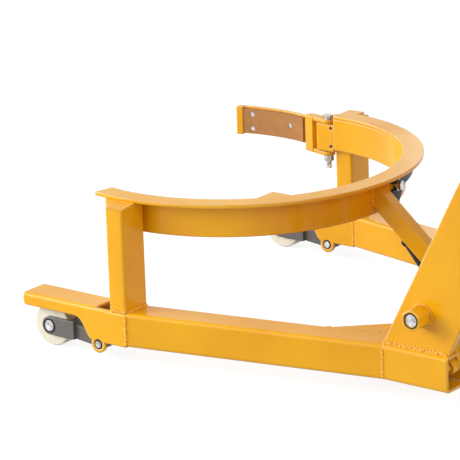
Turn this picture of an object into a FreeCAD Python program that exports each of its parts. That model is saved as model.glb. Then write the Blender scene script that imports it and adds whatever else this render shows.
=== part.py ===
import FreeCAD
import Part
import math
import os

# Hydraulic drum trolley, lowered, clamp arm open. Millimetres, +X forward, +Y left, +Z up.
# It is laid out from the drum axis, then moved so that the origin is on the floor, mid-box.

# Drum cradle: a half-round angle ring that lifts the drum under its rolling hoop
RING_R = 290.0
WEB_T = 5.0
WEB_DEPTH = 65.0
FLANGE_W = 37.0
FLANGE_T = 6.0
RING_TOP = 283.0
RING_END_X = 2.0
FLANGE_TIP_DEG = 79.5

# Posts that carry the ring, and the legs they stand on
POST_GAP = 7.0
POST_W = 58.0
POST_DEPTH = 36.0
POST_FRONT = 7.0
POST_WALL = 4.0
POST_DROP = 4.5
POST_BEND = 4.0
GUSSET_L = 26.0
GUSSET_H = 9.0
HOOP_STOP_OUT = 18.0
LEG_H = 60.0
LEG_W = 60.0
LEG_WALL = 4.0
LEG_STEP = 1.0
TUBE_BEND = 6.0
NOSE_LEDGE = 3.5
NOSE_AHEAD = 13.0
NOSE_T = 5.0
NOSE_SKIRT = 22.0
NOSE_BEND = 7.0
NOSE_CORNER = 6.0
SKIRT_BACK = 52.0
WINDOW_L = 31.0
BEND_BACK = 190.0
TAIL_OUT = 262.0
TAIL_L = 125.0
CROSS_T = 8.0
CROSS_DROP = 3.0
CROSS_BACK = 75.0
CROSS_LEAD = 90.0
CROSS_BRIDGE = 52.0

# Load rollers on swinging levers
ROLLER_R = 38.0
ROLLER_W = 32.6
ROLLER_HEAD = 11.0
AXLE_R = 10.0
AXLE_AHEAD = 115.0
EAR_AHEAD = 25.0
EAR_DROP = 5.0
EAR_R = 15.0
EAR_PIN_R = 6.0
EAR_BUSH_R = 9.0
CHEEK_T = 6.5
CHEEK_H = 32.0
CHEEK_TAIL = 17.0
ROLLER_SPACE = 3.0
SIDE_PLAY = 1.2
LEVER_ARM = 52.0
LEVER_ARM_DEG = 24.35
LEVER_ARM_T = 16.0
LEVER_PIN_R = 6.0
LEVER_EYE = 1.5
JAW_PLAY = 0.9
JAW_HALF = 15.2
JAW_T = 6.2

# Rear frame: sloped side plates, rocker shaft, head beam
PLATE_T = 10.0
PLATE_INSET = 10.0
PLATE_FOOT = 127.0
PLATE_LEAN = 0.513
PLATE_BACK_LEAN = 0.459
HEAD_Z = 480.0
HEAD_H = 28.0
HEAD_W = 70.0
HEAD_SPACE = 14.0
HEAD_AHEAD = 42.0
SHAFT_BACK = 72.0
SHAFT_UP = 61.0
SHAFT_R = 11.0
BOSS_L = 33.0
BOSS_WALL = 5.5
BEAM_SIZE = 40.0
APRON_T = 6.0
APRON_LOW = 230.0

# Lift: rocker arms, pump carriage, pump and steer wheels
LIFT = 90.0
ROCKER_DROP = 93.8
ROCKER_DEG = 24.0
ROCKER_T = 12.0
ROD_PIN_R = 7.0
PUSH_ROD_T = 12.0
PUMP_BACK = 188.0
SWING_ARM_Y = 134.0
CARRIAGE_PIN_R = 8.0
CARRIAGE_T = 24.0
NECK_R = 38.0
CYLINDER_R = 34.0
RAM_R = 18.0
RAM_HELD = 80.0
WHEEL_R = 90.0
WHEEL_W = 50.0
TYRE_T = 22.0
STEER_AXLE_R = 10.0
PUMP_HALF_W = 24.0
WHEEL_SPACE = 2.0
WHEEL_HUB_R = 24.0
BLOCK_DROP = 28.0
COLLAR_H = 12.0
TANK_AHEAD = 62.0
TANK_HALF = 40.0
TANK_H = 108.0
TANK_BEND = 10.0

# Drawbar
DRAWBAR_BACK = 70.0
DRAWBAR_UP = 52.0
DRAWBAR_L = 760.0
DRAWBAR_R = 19.0
DRAWBAR_LEAN = 12.0
DRAWBAR_PIN_R = 8.0
DRAWBAR_HUB_R = 22.0
DRAWBAR_LUG_T = 12.0
DRAWBAR_WALL = 3.0
SOCKET_L = 90.0
SOCKET_SEAT = 30.0
SOCKET_WALL = 4.0
LOOP_HALF = 75.0
LOOP_H = 132.0
LOOP_R = 13.0
LOOP_BEND = 34.0
TRIGGER_UP = 40.0
TRIGGER_L = 62.0
TRIGGER_T = 6.0
TRIGGER_PIN_R = 4.0
TRIGGER_HALF = 11.0
TRIGGER_EAR_T = 5.0
TRIGGER_EAR_R = 9.0

# Clamp arm on the right end of the ring, drawn closed and then swung open
HINGE_X = 22.0
HINGE_OUT = 12.0
HINGE_R = 5.0
HINGE_TAIL = 26.0
YOKE_CLEAR = 0.4
LUG_L = 40.0
LUG_HALF = 13.0
LUG_BEND = 4.0
LUG_LOW = 214.0
LUG_TOP = 265.0
EAR_PLATE = 7.0
YOKE_SPACE = 1.0
YOKE_ROOT_DEG = 4.5
ARM_OPEN = 30.0
ARM_FROM = 10.2
ARM_TO = 42.8
ARM_T = 6.0
PAD_T = 8.0
PAD_GAP = 2.0
PAD_PROUD = 2.0
PAD_EDGE = 3.0
RIVET_SINK = 0.8
LIP_DEG = 2.6
RIVET_R = 3.0
RIVET_HEAD = 1.5
TIP_RIVET_DEG = 6.5
ROOT_RIVET_DEG = 9.0
RIVET_SPREAD = 14.0
TAIL_R = 30.0
TAIL_W = 16.0
TAIL_DEG = -88.0
TAIL_PIN_R = 4.0

# Clamp linkage: rod through the right post, link bar round the ring, crank, pull rod, hand lever
CLAMP_ROD_R = 5.0
CLAMP_ROD_Z = 257.0
CLAMP_ROD_L = 112.0
CLAMP_ROD_IN = 1.0
EYE_HALF = 11.0
EYE_SLOT = 2.6
LINK_GAP = 9.0
LINK_T = 4.0
LINK_LOW = 250.0
LINK_H = 24.0
LINK_SHANK = 26.0
LINK_SIDE = 34.0
LINK_DROP = 8.0
LINK_BOLT_DEG = 190.0
LINK_BOLT_UP = 6.0
LINK_BOLT_R = 5.0
LINK_ARC_DEG = 235.0
BOSS_DISC_R = 30.0
STRUT_DEG = 41.0
STRUT_W = 20.0
STRUT_D = 34.0
STRUT_T = 3.0
STRUT_BACK = 13.3
STRUT_Z = 225.4
CRANK_DOWN = 62.0
CRANK_SIDE = 42.0
CRANK_SINK = 12.0
BRACKET_T = 4.0
BRACKET_W = 24.0
CRANK_ARM = 34.0
CRANK_OFFSET = 7.4
CRANK_SHORT = 16.4
CRANK_DEG = 12.5
CRANK_T = 6.0
CRANK_BOLT_R = 4.0
PEG_R = 4.0
PULL_ROD_R = 5.0
PULL_ROD_SINK = 23.5
PULL_ROD_SIDE = 6.5
LEVER_UP = 44.4
LEVER_SIDE = 17.0
HAND_PIVOT_R = 8.0
HAND_LEVER_L = 470.0
HAND_LEVER_LEAN = 22.0
HAND_LEVER_T = 10.0
GRIP_R = 14.0
GRIP_L = 110.0

# Fits, and the metal left round a pin hole
RUN = 0.05
PLAY = 0.3
LINK_PLAY = 0.7
EYE_WALL = 5.0

# Places that follow from the sizes above
LEG_TOP = 2 * ROLLER_R + ROLLER_HEAD + NOSE_T
WEB_R = RING_R + WEB_T
FLANGE_R = RING_R + FLANGE_W
FLANGE_LOW = RING_TOP - FLANGE_T
WEB_LOW = RING_TOP - WEB_DEPTH
POST_IN = WEB_R + POST_GAP
POST_OUT = POST_IN + POST_W
POST_BACK = POST_FRONT - POST_DEPTH
NOSE_OUT = POST_OUT + NOSE_LEDGE
NOSE_IN = NOSE_OUT - LEG_W
LEG_MID = NOSE_OUT - LEG_W / 2
LEG_LOW = LEG_TOP - LEG_H
CROSS_TOP = LEG_TOP - CROSS_DROP
EAR_Z = LEG_LOW - EAR_DROP
BEND_X = -(WEB_R + BEND_BACK)
TAIL_X = BEND_X - TAIL_L
TAIL_IN = TAIL_OUT - LEG_W
TAIL_MID = TAIL_OUT - LEG_W / 2
LEG_START_OUT = NOSE_OUT - LEG_STEP
LEG_START_IN = NOSE_IN - LEG_STEP
EAR_X = POST_FRONT + EAR_AHEAD
AXLE_X = EAR_X + AXLE_AHEAD
NOSE_FRONT = AXLE_X + ROLLER_R + NOSE_AHEAD
LEVER_OUT = NOSE_OUT - NOSE_T - SIDE_PLAY
LEVER_IN = NOSE_IN + NOSE_T + SIDE_PLAY
LEVER_PIN_X = EAR_X - LEVER_ARM * math.sin(math.radians(LEVER_ARM_DEG))
LEVER_PIN_Z = EAR_Z + LEVER_ARM * math.cos(math.radians(LEVER_ARM_DEG))
PLATE_OUT = TAIL_OUT - PLATE_INSET
PLATE_IN = PLATE_OUT - PLATE_T
SHAFT_X = BEND_X - SHAFT_BACK
SHAFT_Z = LEG_TOP + SHAFT_UP
ROD_PIN_X = SHAFT_X - ROCKER_DROP * math.sin(math.radians(ROCKER_DEG))
ROD_PIN_Z = SHAFT_Z - ROCKER_DROP * math.cos(math.radians(ROCKER_DEG))
PUMP_X = SHAFT_X - PUMP_BACK
CARRIAGE_Z = SHAFT_Z + LIFT / 2
CARRIAGE_LOW = CARRIAGE_Z - CARRIAGE_T / 2
CARRIAGE_TOP = CARRIAGE_Z + CARRIAGE_T / 2
CARRIAGE_HALF = SWING_ARM_Y - ROCKER_T
DRAWBAR_Z = CARRIAGE_TOP + DRAWBAR_UP
HEAD_LOW = HEAD_Z - HEAD_H
HEAD_FRONT = PUMP_X + HEAD_AHEAD
CYLINDER_TOP = HEAD_LOW - HEAD_SPACE
RAM_LOW = CYLINDER_TOP - LIFT - RAM_HELD
DRAWBAR_X = PUMP_X - DRAWBAR_BACK
HINGE_Y = -(RING_R + HINGE_OUT)
HINGE_DEG = math.degrees(math.atan2(HINGE_Y, HINGE_X))
PAD_R = RING_R - PAD_PROUD
ARM_R = PAD_R + PAD_T
YOKE_TOP = LUG_TOP + YOKE_SPACE
YOKE_LOW = LUG_LOW - 2 * YOKE_SPACE
ARM_LOW = LUG_LOW
ARM_TOP = LUG_TOP + 2 * YOKE_SPACE
TAIL_PIN_X = HINGE_X + TAIL_R * math.cos(math.radians(TAIL_DEG))
TAIL_PIN_Y = HINGE_Y + TAIL_R * math.sin(math.radians(TAIL_DEG))
CLAMP_ROD_Y = TAIL_PIN_Y + CLAMP_ROD_IN
LINK_R = WEB_R + LINK_GAP
LINK_MID = LINK_R + LINK_T / 2
LINK_TOP = LINK_LOW + LINK_H
LINK_BOLT_Z = LINK_LOW + LINK_BOLT_UP
LINK_FOOT = WEB_LOW - LINK_DROP
JOINT_X = TAIL_PIN_X - CLAMP_ROD_L
STRUT_X = -(RING_R + STRUT_BACK)
STRUT_L = (STRUT_Z - CROSS_TOP) / math.sin(math.radians(STRUT_DEG))
STRUT_FOOT_X = STRUT_X - STRUT_L * math.cos(math.radians(STRUT_DEG))
LEVER_DOWN = STRUT_L - LEVER_UP
LEVER_NEAR = -STRUT_W / 2 - LEVER_SIDE
LEVER_FAR = LEVER_NEAR - HAND_LEVER_T


def vec(x, y, z):
    return FreeCAD.Vector(x, y, z)


def box(x0, x1, y0, y1, z0, z1):
    return Part.makeBox(x1 - x0, y1 - y0, z1 - z0, vec(x0, y0, z0))


def rod(start, end, radius):
    return Part.makeCylinder(radius, end.sub(start).Length, start, end.sub(start))


def xpin(y, z, radius, x0, x1):
    return rod(vec(x0, y, z), vec(x1, y, z), radius)


def ypin(x, z, radius, y0, y1):
    return rod(vec(x, y0, z), vec(x, y1, z), radius)


def zpin(x, y, radius, z0, z1):
    return rod(vec(x, y, z0), vec(x, y, z1), radius)


def prism(axis, outline, low, high):
    """Extrude a closed outline, given in the two axes that are left, along one axis."""
    place = {
        "x": lambda a, b: vec(low, a, b),
        "y": lambda a, b: vec(a, low, b),
        "z": lambda a, b: vec(a, b, low),
    }[axis]
    along = {"x": vec(high - low, 0, 0), "y": vec(0, high - low, 0), "z": vec(0, 0, high - low)}[axis]
    corners = [place(a, b) for a, b in outline]
    return Part.Face(Part.makePolygon(corners + corners[:1])).extrude(along)


def sector(r0, r1, z0, z1, deg0, deg1):
    """A piece of a ring about the drum axis."""
    corners = [vec(r0, 0, z0), vec(r1, 0, z0), vec(r1, 0, z1), vec(r0, 0, z1)]
    section = Part.makePolygon(corners + corners[:1])
    piece = Part.Face(section).revolve(vec(0, 0, 0), vec(0, 0, 1), deg1 - deg0)
    piece.rotate(vec(0, 0, 0), vec(0, 0, 1), deg0)
    return piece


def arm(axis, start, end, r0, r1, low, high):
    """A flat arm with two round ends, thick along Y or Z."""
    pin = {"y": ypin, "z": zpin}[axis]
    run_a = end[0] - start[0]
    run_b = end[1] - start[1]
    length = math.hypot(run_a, run_b)
    side_a = -run_b / length
    side_b = run_a / length
    outline = [
        (start[0] + side_a * r0, start[1] + side_b * r0),
        (end[0] + side_a * r1, end[1] + side_b * r1),
        (end[0] - side_a * r1, end[1] - side_b * r1),
        (start[0] - side_a * r0, start[1] - side_b * r0),
    ]
    ends = [pin(start[0], start[1], r0, low, high), pin(end[0], end[1], r1, low, high)]
    return joined(prism(axis, outline, low, high), *ends)


def hexagon(axis, a, b, flats, low, high):
    corners = [math.radians(60 * k + 30) for k in range(6)]
    reach = flats / math.sqrt(3)
    return prism(axis, [(a + reach * math.cos(t), b + reach * math.sin(t)) for t in corners], low, high)


def joined(first, *others):
    return first.multiFuse(list(others)).removeSplitter()


def mirrored(shape):
    return shape.mirror(vec(0, 0, 0), vec(0, 1, 0))


def both(shape):
    return Part.makeCompound([shape, mirrored(shape)])


def spun(shape, deg):
    """Turn a piece about the drum axis."""
    shape.rotate(vec(0, 0, 0), vec(0, 0, 1), deg)
    return shape


def on_strut(shape):
    """Move a piece drawn with X up the strut, Y left and Z off its lower face into place."""
    shape.rotate(vec(0, 0, 0), vec(0, 1, 0), -STRUT_DEG)
    shape.translate(vec(STRUT_X, 0, STRUT_Z))
    return shape


def swung_open(shape):
    shape.rotate(vec(HINGE_X, HINGE_Y, 0), vec(0, 0, 1), -ARM_OPEN)
    return shape


def edge(points):
    return Part.makePolygon(points).Edges


def leg_in(x):
    """Inner face of the slanted leg tube at a place along the trolley."""
    share = (x - POST_BACK) / (BEND_X - POST_BACK)
    return LEG_START_IN + share * (TAIL_IN - LEG_START_IN)




# Welded frame

def nose_outline():
    """Side view of the nose: straight skirt, S-curve behind the roller, round pivot ear, deep heel."""
    low = LEG_TOP - NOSE_SKIRT
    corner = NOSE_CORNER
    turn = math.radians(20)
    ear_left = EAR_X - math.sqrt(EAR_R ** 2 - (LEG_LOW - EAR_Z) ** 2)
    ear_right = vec(EAR_X + EAR_R * math.cos(turn), 0, EAR_Z + EAR_R * math.sin(turn))
    skirt = vec(EAR_X + SKIRT_BACK, 0, low)
    curve = Part.BezierCurve()
    curve.setPoles([ear_right, vec(ear_right.x + 14, 0, ear_right.z + 4), vec(skirt.x - 22, 0, low), skirt])
    heel = [vec(NOSE_FRONT, 0, LEG_TOP), vec(POST_BACK, 0, LEG_TOP), vec(POST_BACK, 0, LEG_LOW)]
    ear = Part.Arc(vec(ear_left, 0, LEG_LOW), vec(EAR_X, 0, EAR_Z - EAR_R), ear_right)
    tip = Part.Arc(
        vec(NOSE_FRONT - corner, 0, low),
        vec(NOSE_FRONT - corner * 0.293, 0, low + corner * 0.293),
        vec(NOSE_FRONT, 0, low + corner),
    )
    edges = edge(heel + [vec(ear_left, 0, LEG_LOW)]) + [ear.toShape(), curve.toShape()]
    edges += edge([skirt, vec(NOSE_FRONT - corner, 0, low)]) + [tip.toShape()]
    edges += edge([vec(NOSE_FRONT, 0, low + corner), heel[0]])
    return Part.Face(Part.Wire(edges))


def nose():
    outer = box(POST_BACK, NOSE_FRONT, NOSE_IN, NOSE_OUT, 0, LEG_TOP)
    top = [e for e in outer.Edges if all(abs(v.Z - LEG_TOP) < RUN for v in e.Vertexes)]
    folds = [e for e in top if e.Length > LEG_W + 1]
    outer = outer.makeFillet(NOSE_BEND, folds)
    outline = nose_outline()
    outline.translate(vec(0, NOSE_IN, 0))
    side = outline.extrude(vec(0, LEG_W, 0))
    side_in = NOSE_IN + NOSE_T
    side_out = NOSE_OUT - NOSE_T
    inner = box(POST_BACK - 1, NOSE_FRONT - NOSE_T, side_in, side_out, -1, LEG_TOP - NOSE_T)
    window = box(POST_FRONT, POST_FRONT + WINDOW_L, side_in, side_out, EAR_Z + EAR_R, LEG_TOP + 1)
    ears = ypin(EAR_X, EAR_Z, EAR_BUSH_R, NOSE_IN - 1, NOSE_OUT + 1)
    return outer.cut(inner).common(side).cut(window).cut(ears)


def leg_tube():
    """Slanted box tube from the post back to the bend, narrowing the trolley towards the pump."""
    def slanted(inset, x0, x1):
        def edge_y(x, at_front, at_bend):
            return at_front + (x - POST_BACK) / (BEND_X - POST_BACK) * (at_bend - at_front)
        outline = [
            (x0, edge_y(x0, LEG_START_OUT, TAIL_OUT) - inset),
            (x1, edge_y(x1, LEG_START_OUT, TAIL_OUT) - inset),
            (x1, edge_y(x1, LEG_START_IN, TAIL_IN) + inset),
            (x0, edge_y(x0, LEG_START_IN, TAIL_IN) + inset),
        ]
        return prism("z", outline, LEG_LOW + inset, LEG_TOP - inset)
    outer = slanted(0, POST_BACK, BEND_X)
    outer = outer.makeFillet(TUBE_BEND, [e for e in outer.Edges if e.Length > 2 * LEG_W])
    return outer.cut(slanted(LEG_WALL, POST_BACK + 1, BEND_X - 1))


def leg_tail():
    outer = box(TAIL_X, BEND_X, TAIL_IN, TAIL_OUT, LEG_LOW, LEG_TOP)
    outer = outer.makeFillet(TUBE_BEND, [e for e in outer.Edges if abs(e.Length - TAIL_L) < RUN])
    low = LEG_LOW + LEG_WALL
    high = LEG_TOP - LEG_WALL
    bore = box(TAIL_X - 1, BEND_X + 1, TAIL_IN + LEG_WALL, TAIL_OUT - LEG_WALL, low, high)
    arm_in = TAIL_IN + LEG_WALL + 1
    slot = box(TAIL_X - 1, SHAFT_X + 22, arm_in, arm_in + ROCKER_T + 6, LEG_TOP - 2 * LEG_WALL, LEG_TOP + 1)
    return outer.cut(bore).cut(slot)


def post_outline(inset, low):
    """End view of the left post, with a sloped cap where it stands out past the flange."""
    return [
        (POST_IN + inset, low),
        (POST_OUT - inset, low),
        (POST_OUT - inset, FLANGE_LOW - POST_DROP - inset),
        (FLANGE_R - inset, FLANGE_LOW - inset),
        (POST_IN + inset, FLANGE_LOW - inset),
    ]


def post():
    """Upright box tube under the ring."""
    outer = prism("x", post_outline(0, LEG_TOP), POST_BACK, POST_FRONT)
    uprights = [e for e in outer.Edges if abs(e.Vertexes[0].Z - e.Vertexes[1].Z) > 2 * POST_W]
    outer = outer.makeFillet(POST_BEND, uprights)
    bore = prism("x", post_outline(POST_WALL, LEG_TOP - 1), POST_BACK + POST_WALL, POST_FRONT - POST_WALL)
    return outer.cut(bore)


def post_left():
    """Left post, with a gusset that carries the free end of the flange."""
    root = POST_FRONT - POST_WALL
    gusset = prism("x", post_outline(0, FLANGE_LOW - GUSSET_H), root, POST_FRONT + GUSSET_L)
    plan = [(root, POST_OUT), (POST_FRONT + GUSSET_L, FLANGE_R), (root, POST_IN)]
    return joined(post(), gusset.common(prism("z", plan, LEG_TOP, RING_TOP)))


def post_right():
    """Right post, with slots that let the clamp rod through and a stop block beside the flange."""
    half = CLAMP_ROD_R + 2
    low = CLAMP_ROD_Z - half
    slot = box(POST_BACK - 1, POST_FRONT + 1, CLAMP_ROD_Y - half, CLAMP_ROD_Y + half, low, low + 2 * half)
    out = FLANGE_R + HOOP_STOP_OUT
    foot = FLANGE_LOW - POST_DROP
    stop = box(POST_BACK, POST_FRONT - POST_WALL, -out, POST_WALL - FLANGE_R, foot, RING_TOP)
    stop = stop.cut(zpin(0, 0, FLANGE_R, FLANGE_LOW, RING_TOP + 1))
    return joined(mirrored(post()).cut(slot), stop)


def past_ring_end():
    return box(RING_END_X, FLANGE_R, -2 * FLANGE_R, 0, 0, 2 * RING_TOP)


def cradle_web():
    near = math.degrees(math.acos(RING_END_X / RING_R))
    return sector(RING_R, WEB_R, WEB_LOW, FLANGE_LOW, near, 275).cut(past_ring_end())


def cradle_flange():
    return sector(RING_R, FLANGE_R, FLANGE_LOW, RING_TOP, FLANGE_TIP_DEG, 275).cut(past_ring_end())


def hinge_lug():
    """Block on the right ring end that the clamp hinge bolt runs through."""
    inner = -RING_R - PLAY
    block = box(RING_END_X, RING_END_X + LUG_L, HINGE_Y - LUG_HALF, inner, LUG_LOW, LUG_TOP)
    uprights = [e for e in block.Edges if abs(e.Length - LUG_TOP + LUG_LOW) < RUN]
    corners = [e for e in uprights if e.Vertexes[0].X > RING_END_X + 1]
    block = block.makeFillet(LUG_BEND, corners)
    block = block.cut(zpin(HINGE_X, HINGE_Y, HINGE_R, LUG_LOW - 1, LUG_TOP + 1))
    block = block.cut(box(POST_BACK, POST_FRONT, -POST_OUT, -POST_IN, LEG_TOP, FLANGE_LOW))
    for z in (LUG_LOW + 10, LUG_TOP - 6):
        block = block.cut(ypin(RING_END_X + 6, z, 3.0, inner - 3, inner + 1))
    return block


def hinge_bolt():
    top = YOKE_TOP + EAR_PLATE
    low = YOKE_LOW - EAR_PLATE
    washer = 1.8
    flats = 2 * HINGE_R + 6
    rim = HINGE_R + 4
    shank = zpin(HINGE_X, HINGE_Y, HINGE_R, low - HINGE_TAIL, top + washer)
    washers = [
        zpin(HINGE_X, HINGE_Y, rim, top + RUN, top + washer),
        zpin(HINGE_X, HINGE_Y, rim, low - washer, low - RUN),
    ]
    head = hexagon("z", HINGE_X, HINGE_Y, flats, top + washer, top + washer + HINGE_R + 1)
    nut = hexagon("z", HINGE_X, HINGE_Y, flats, low - washer - 2 * HINGE_R, low - washer)
    return joined(shank, head, nut, *washers)


def strut():
    """Box tube from the back of the ring down to the cross plate, with a side bracket for the crank."""
    up = 60.0
    down = STRUT_L + up
    half = STRUT_W / 2
    body = box(-down, up, -half, half, 0, STRUT_D)
    body = body.cut(box(-down - 1, up + 1, STRUT_T - half, half - STRUT_T, STRUT_T, STRUT_D - STRUT_T))
    body = body.cut(ypin(-LEVER_DOWN, STRUT_D / 2, HAND_PIVOT_R, -half - 1, half + 1))
    side = BRACKET_W / 2
    bracket = box(-CRANK_DOWN - side, side - CRANK_DOWN, -CRANK_SIDE - side, 2, -BRACKET_T, 0)
    bracket = bracket.cut(zpin(-CRANK_DOWN, -CRANK_SIDE, CRANK_BOLT_R, -BRACKET_T - 1, 1))
    body = on_strut(joined(body, bracket))
    ring_space = zpin(0, 0, WEB_R, 0, 2 * RING_TOP)
    below = box(STRUT_X - 2 * FLANGE_R, STRUT_X, -half - 1, half + 1, -RING_TOP, CROSS_TOP)
    above = box(STRUT_X - FLANGE_R, 0, -half - 1, half + 1, FLANGE_LOW, 2 * RING_TOP)
    return body.cut(ring_space).cut(below).cut(above)


def cross_plate():
    """Plate between the legs that carries the strut, its front edges running out to the legs."""
    front = STRUT_FOOT_X + 21
    out_x = front + CROSS_LEAD
    back = BEND_X - CROSS_BACK
    half = TAIL_IN - CROSS_BRIDGE
    right = [(out_x, -leg_in(out_x)), (BEND_X, -TAIL_IN), (back, -TAIL_IN)]
    left = [(x, -y) for x, y in reversed(right)]
    return prism("z", right + left + [(front, half), (front, -half)], CROSS_TOP - CROSS_T, CROSS_TOP)


def cross_beam():
    x0 = BEND_X - 20
    low = CROSS_TOP - CROSS_T - BEAM_SIZE
    outer = box(x0 - BEAM_SIZE, x0, -TAIL_IN, TAIL_IN, low, low + BEAM_SIZE)
    back = x0 - BEAM_SIZE + LEG_WALL
    bore_low = low + LEG_WALL
    bore_high = low + BEAM_SIZE - LEG_WALL
    bore = box(back, x0 - LEG_WALL, -TAIL_IN - 1, TAIL_IN + 1, bore_low, bore_high)
    return outer.cut(bore)


def plate_front(z):
    return BEND_X + 5 - PLATE_LEAN * (z - LEG_TOP)


def plate_back(z):
    return BEND_X + 5 - PLATE_FOOT - PLATE_BACK_LEAN * (z - LEG_TOP)


def side_plate():
    outline = [
        (plate_front(LEG_TOP), LEG_TOP),
        (plate_front(HEAD_Z), HEAD_Z),
        (plate_back(HEAD_Z), HEAD_Z),
        (plate_back(LEG_TOP), LEG_TOP),
    ]
    return prism("y", outline, PLATE_IN, PLATE_OUT).cut(ypin(SHAFT_X, SHAFT_Z, SHAFT_R + RUN, 0, NOSE_OUT))


def shaft_bosses():
    boss = hexagon("y", SHAFT_X, SHAFT_Z, 2 * (SHAFT_R + BOSS_WALL), PLATE_OUT, PLATE_OUT + BOSS_L)
    return both(boss.cut(ypin(SHAFT_X, SHAFT_Z, SHAFT_R + RUN, 0, NOSE_OUT)))


def apron():
    high = HEAD_LOW - 12
    low_x = plate_front(APRON_LOW) - 10
    high_x = plate_front(high) - 10
    outline = [(low_x, APRON_LOW), (high_x, high), (high_x - APRON_T, high), (low_x - APRON_T, APRON_LOW)]
    return prism("y", outline, -PLATE_IN, PLATE_IN)


def head_beam():
    return box(HEAD_FRONT - HEAD_W, HEAD_FRONT, -PLATE_IN, PLATE_IN, HEAD_LOW, HEAD_Z)


def lift_ram():
    return zpin(PUMP_X, 0, RAM_R, RAM_LOW, HEAD_LOW)


def link_boss():
    """Round boss on the outside of the ring, under its flange, that the link bar runs over."""
    face = LINK_R - 2.2
    boss = xpin(0, LINK_BOLT_Z, BOSS_DISC_R, RING_R, face)
    boss = boss.cut(xpin(0, LINK_BOLT_Z, LINK_BOLT_R, RING_R - 1, LINK_R))
    boss = boss.cut(box(0, 2 * RING_R, -BOSS_DISC_R, BOSS_DISC_R, FLANGE_LOW, 2 * RING_TOP))
    return spun(boss, LINK_BOLT_DEG).cut(zpin(0, 0, WEB_R, 0, 2 * RING_TOP))


def guide_bolt():
    out = LINK_R + LINK_T + LINK_PLAY
    washer = 1.6
    shank = xpin(0, LINK_BOLT_Z, LINK_BOLT_R, WEB_R + 1, out + washer)
    rim = xpin(0, LINK_BOLT_Z, 2 * LINK_BOLT_R, out, out + washer)
    head = hexagon("x", 0, LINK_BOLT_Z, 2 * LINK_BOLT_R + 6, out + washer, out + washer + LINK_BOLT_R + 1)
    return spun(joined(shank, rim, head), LINK_BOLT_DEG)


def crank_bolt():
    """Pivot of the crank, hung through the bracket of the strut."""
    low = -CRANK_SINK - CRANK_T
    x = -CRANK_DOWN
    y = -CRANK_SIDE
    shank = zpin(x, y, CRANK_BOLT_R, low - 2, 8)
    spacer = zpin(x, y, 2 * CRANK_BOLT_R, PLAY - CRANK_SINK, -BRACKET_T)
    head = hexagon("z", x, y, 2 * CRANK_BOLT_R + 5, low - 7, low - PLAY)
    nut = hexagon("z", x, y, 2 * CRANK_BOLT_R + 5, 0, 6)
    return on_strut(joined(shank, spacer, head, nut))


def lever_pin():
    """Pivot of the hand lever, welded through the strut."""
    half = STRUT_W / 2
    x = -LEVER_DOWN
    z = STRUT_D / 2
    rim = HAND_PIVOT_R + 4
    shank = ypin(x, z, HAND_PIVOT_R, LEVER_FAR - 2, half - 1)
    spacer = ypin(x, z, rim, LEVER_NEAR + PLAY, -half)
    head = ypin(x, z, rim, LEVER_FAR - 5, LEVER_FAR - PLAY)
    return on_strut(joined(shank, spacer, head))


def linkage_bolts():
    return Part.makeCompound([guide_bolt(), crank_bolt(), lever_pin()])


def ear_bushes():
    rings = []
    for y in (NOSE_IN, NOSE_OUT - NOSE_T):
        ring = ypin(EAR_X, EAR_Z, EAR_BUSH_R, y, y + NOSE_T)
        ring = ring.cut(ypin(EAR_X, EAR_Z, EAR_PIN_R, y - 1, y + NOSE_T + 1))
        rings.append(both(ring))
    return Part.makeCompound(rings)


def ear_pins():
    pin = ypin(EAR_X, EAR_Z, EAR_PIN_R, NOSE_IN - 1, NOSE_OUT + 1)
    return both(pin)


# Clamp arm

def tangent(deg, r):
    return (r * math.cos(math.radians(deg)), r * math.sin(math.radians(deg)))


def clamp_yoke():
    """Fork that carries the arm: two ears on the hinge bolt, an upright, and a tail for the clamp rod."""
    start = HINGE_DEG + ARM_FROM
    root_out = tangent(start, ARM_R + ARM_T)
    root_in = tangent(start, PAD_R - PAD_PROUD)
    reach = math.hypot(HINGE_X, HINGE_Y) - RING_R - YOKE_CLEAR
    side = tangent(HINGE_DEG, reach)
    outline = [
        (HINGE_X + side[0], HINGE_Y + side[1]),
        root_out,
        root_in,
        (HINGE_X - side[0], HINGE_Y - side[1]),
    ]
    ears = []
    for low in (YOKE_TOP, YOKE_LOW - EAR_PLATE):
        ears.append(prism("z", outline, low, low + EAR_PLATE))
        ears.append(zpin(HINGE_X, HINGE_Y, reach, low, low + EAR_PLATE))
    low = YOKE_LOW - EAR_PLATE
    high = YOKE_TOP + EAR_PLATE
    upright = sector(PAD_R - PAD_PROUD, ARM_R + ARM_T, low, high, start - YOKE_ROOT_DEG, start)
    fork = swung_open(joined(upright, *ears))
    tail_end = (TAIL_PIN_X, TAIL_PIN_Y)
    tail = arm("z", (HINGE_X, HINGE_Y), tail_end, TAIL_W / 2 + 1, TAIL_W / 2, YOKE_TOP, high)
    rod_low = CLAMP_ROD_Z - CLAMP_ROD_R
    pin = zpin(TAIL_PIN_X, TAIL_PIN_Y, TAIL_PIN_R, rod_low - TAIL_PIN_R, YOKE_TOP + 1)
    keeper = zpin(TAIL_PIN_X, TAIL_PIN_Y, TAIL_PIN_R + 2.5, rod_low - 3, rod_low - PLAY)
    fork = joined(fork, tail, pin, keeper)
    return fork.cut(zpin(HINGE_X, HINGE_Y, HINGE_R + RUN, 0, 2 * RING_TOP))


def rivet_places():
    """Angle round the drum and height of each pad rivet: a pair at the tip, one at the root."""
    middle = (ARM_LOW + ARM_TOP) / 2
    tip = HINGE_DEG + ARM_TO - TIP_RIVET_DEG
    root = HINGE_DEG + ARM_FROM + ROOT_RIVET_DEG
    return [(tip, middle + RIVET_SPREAD), (tip, middle - RIVET_SPREAD), (root, middle + 2)]


def radial_pin(deg, z, radius, r0, r1):
    return spun(xpin(0, z, radius, r0, r1), deg)


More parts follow.
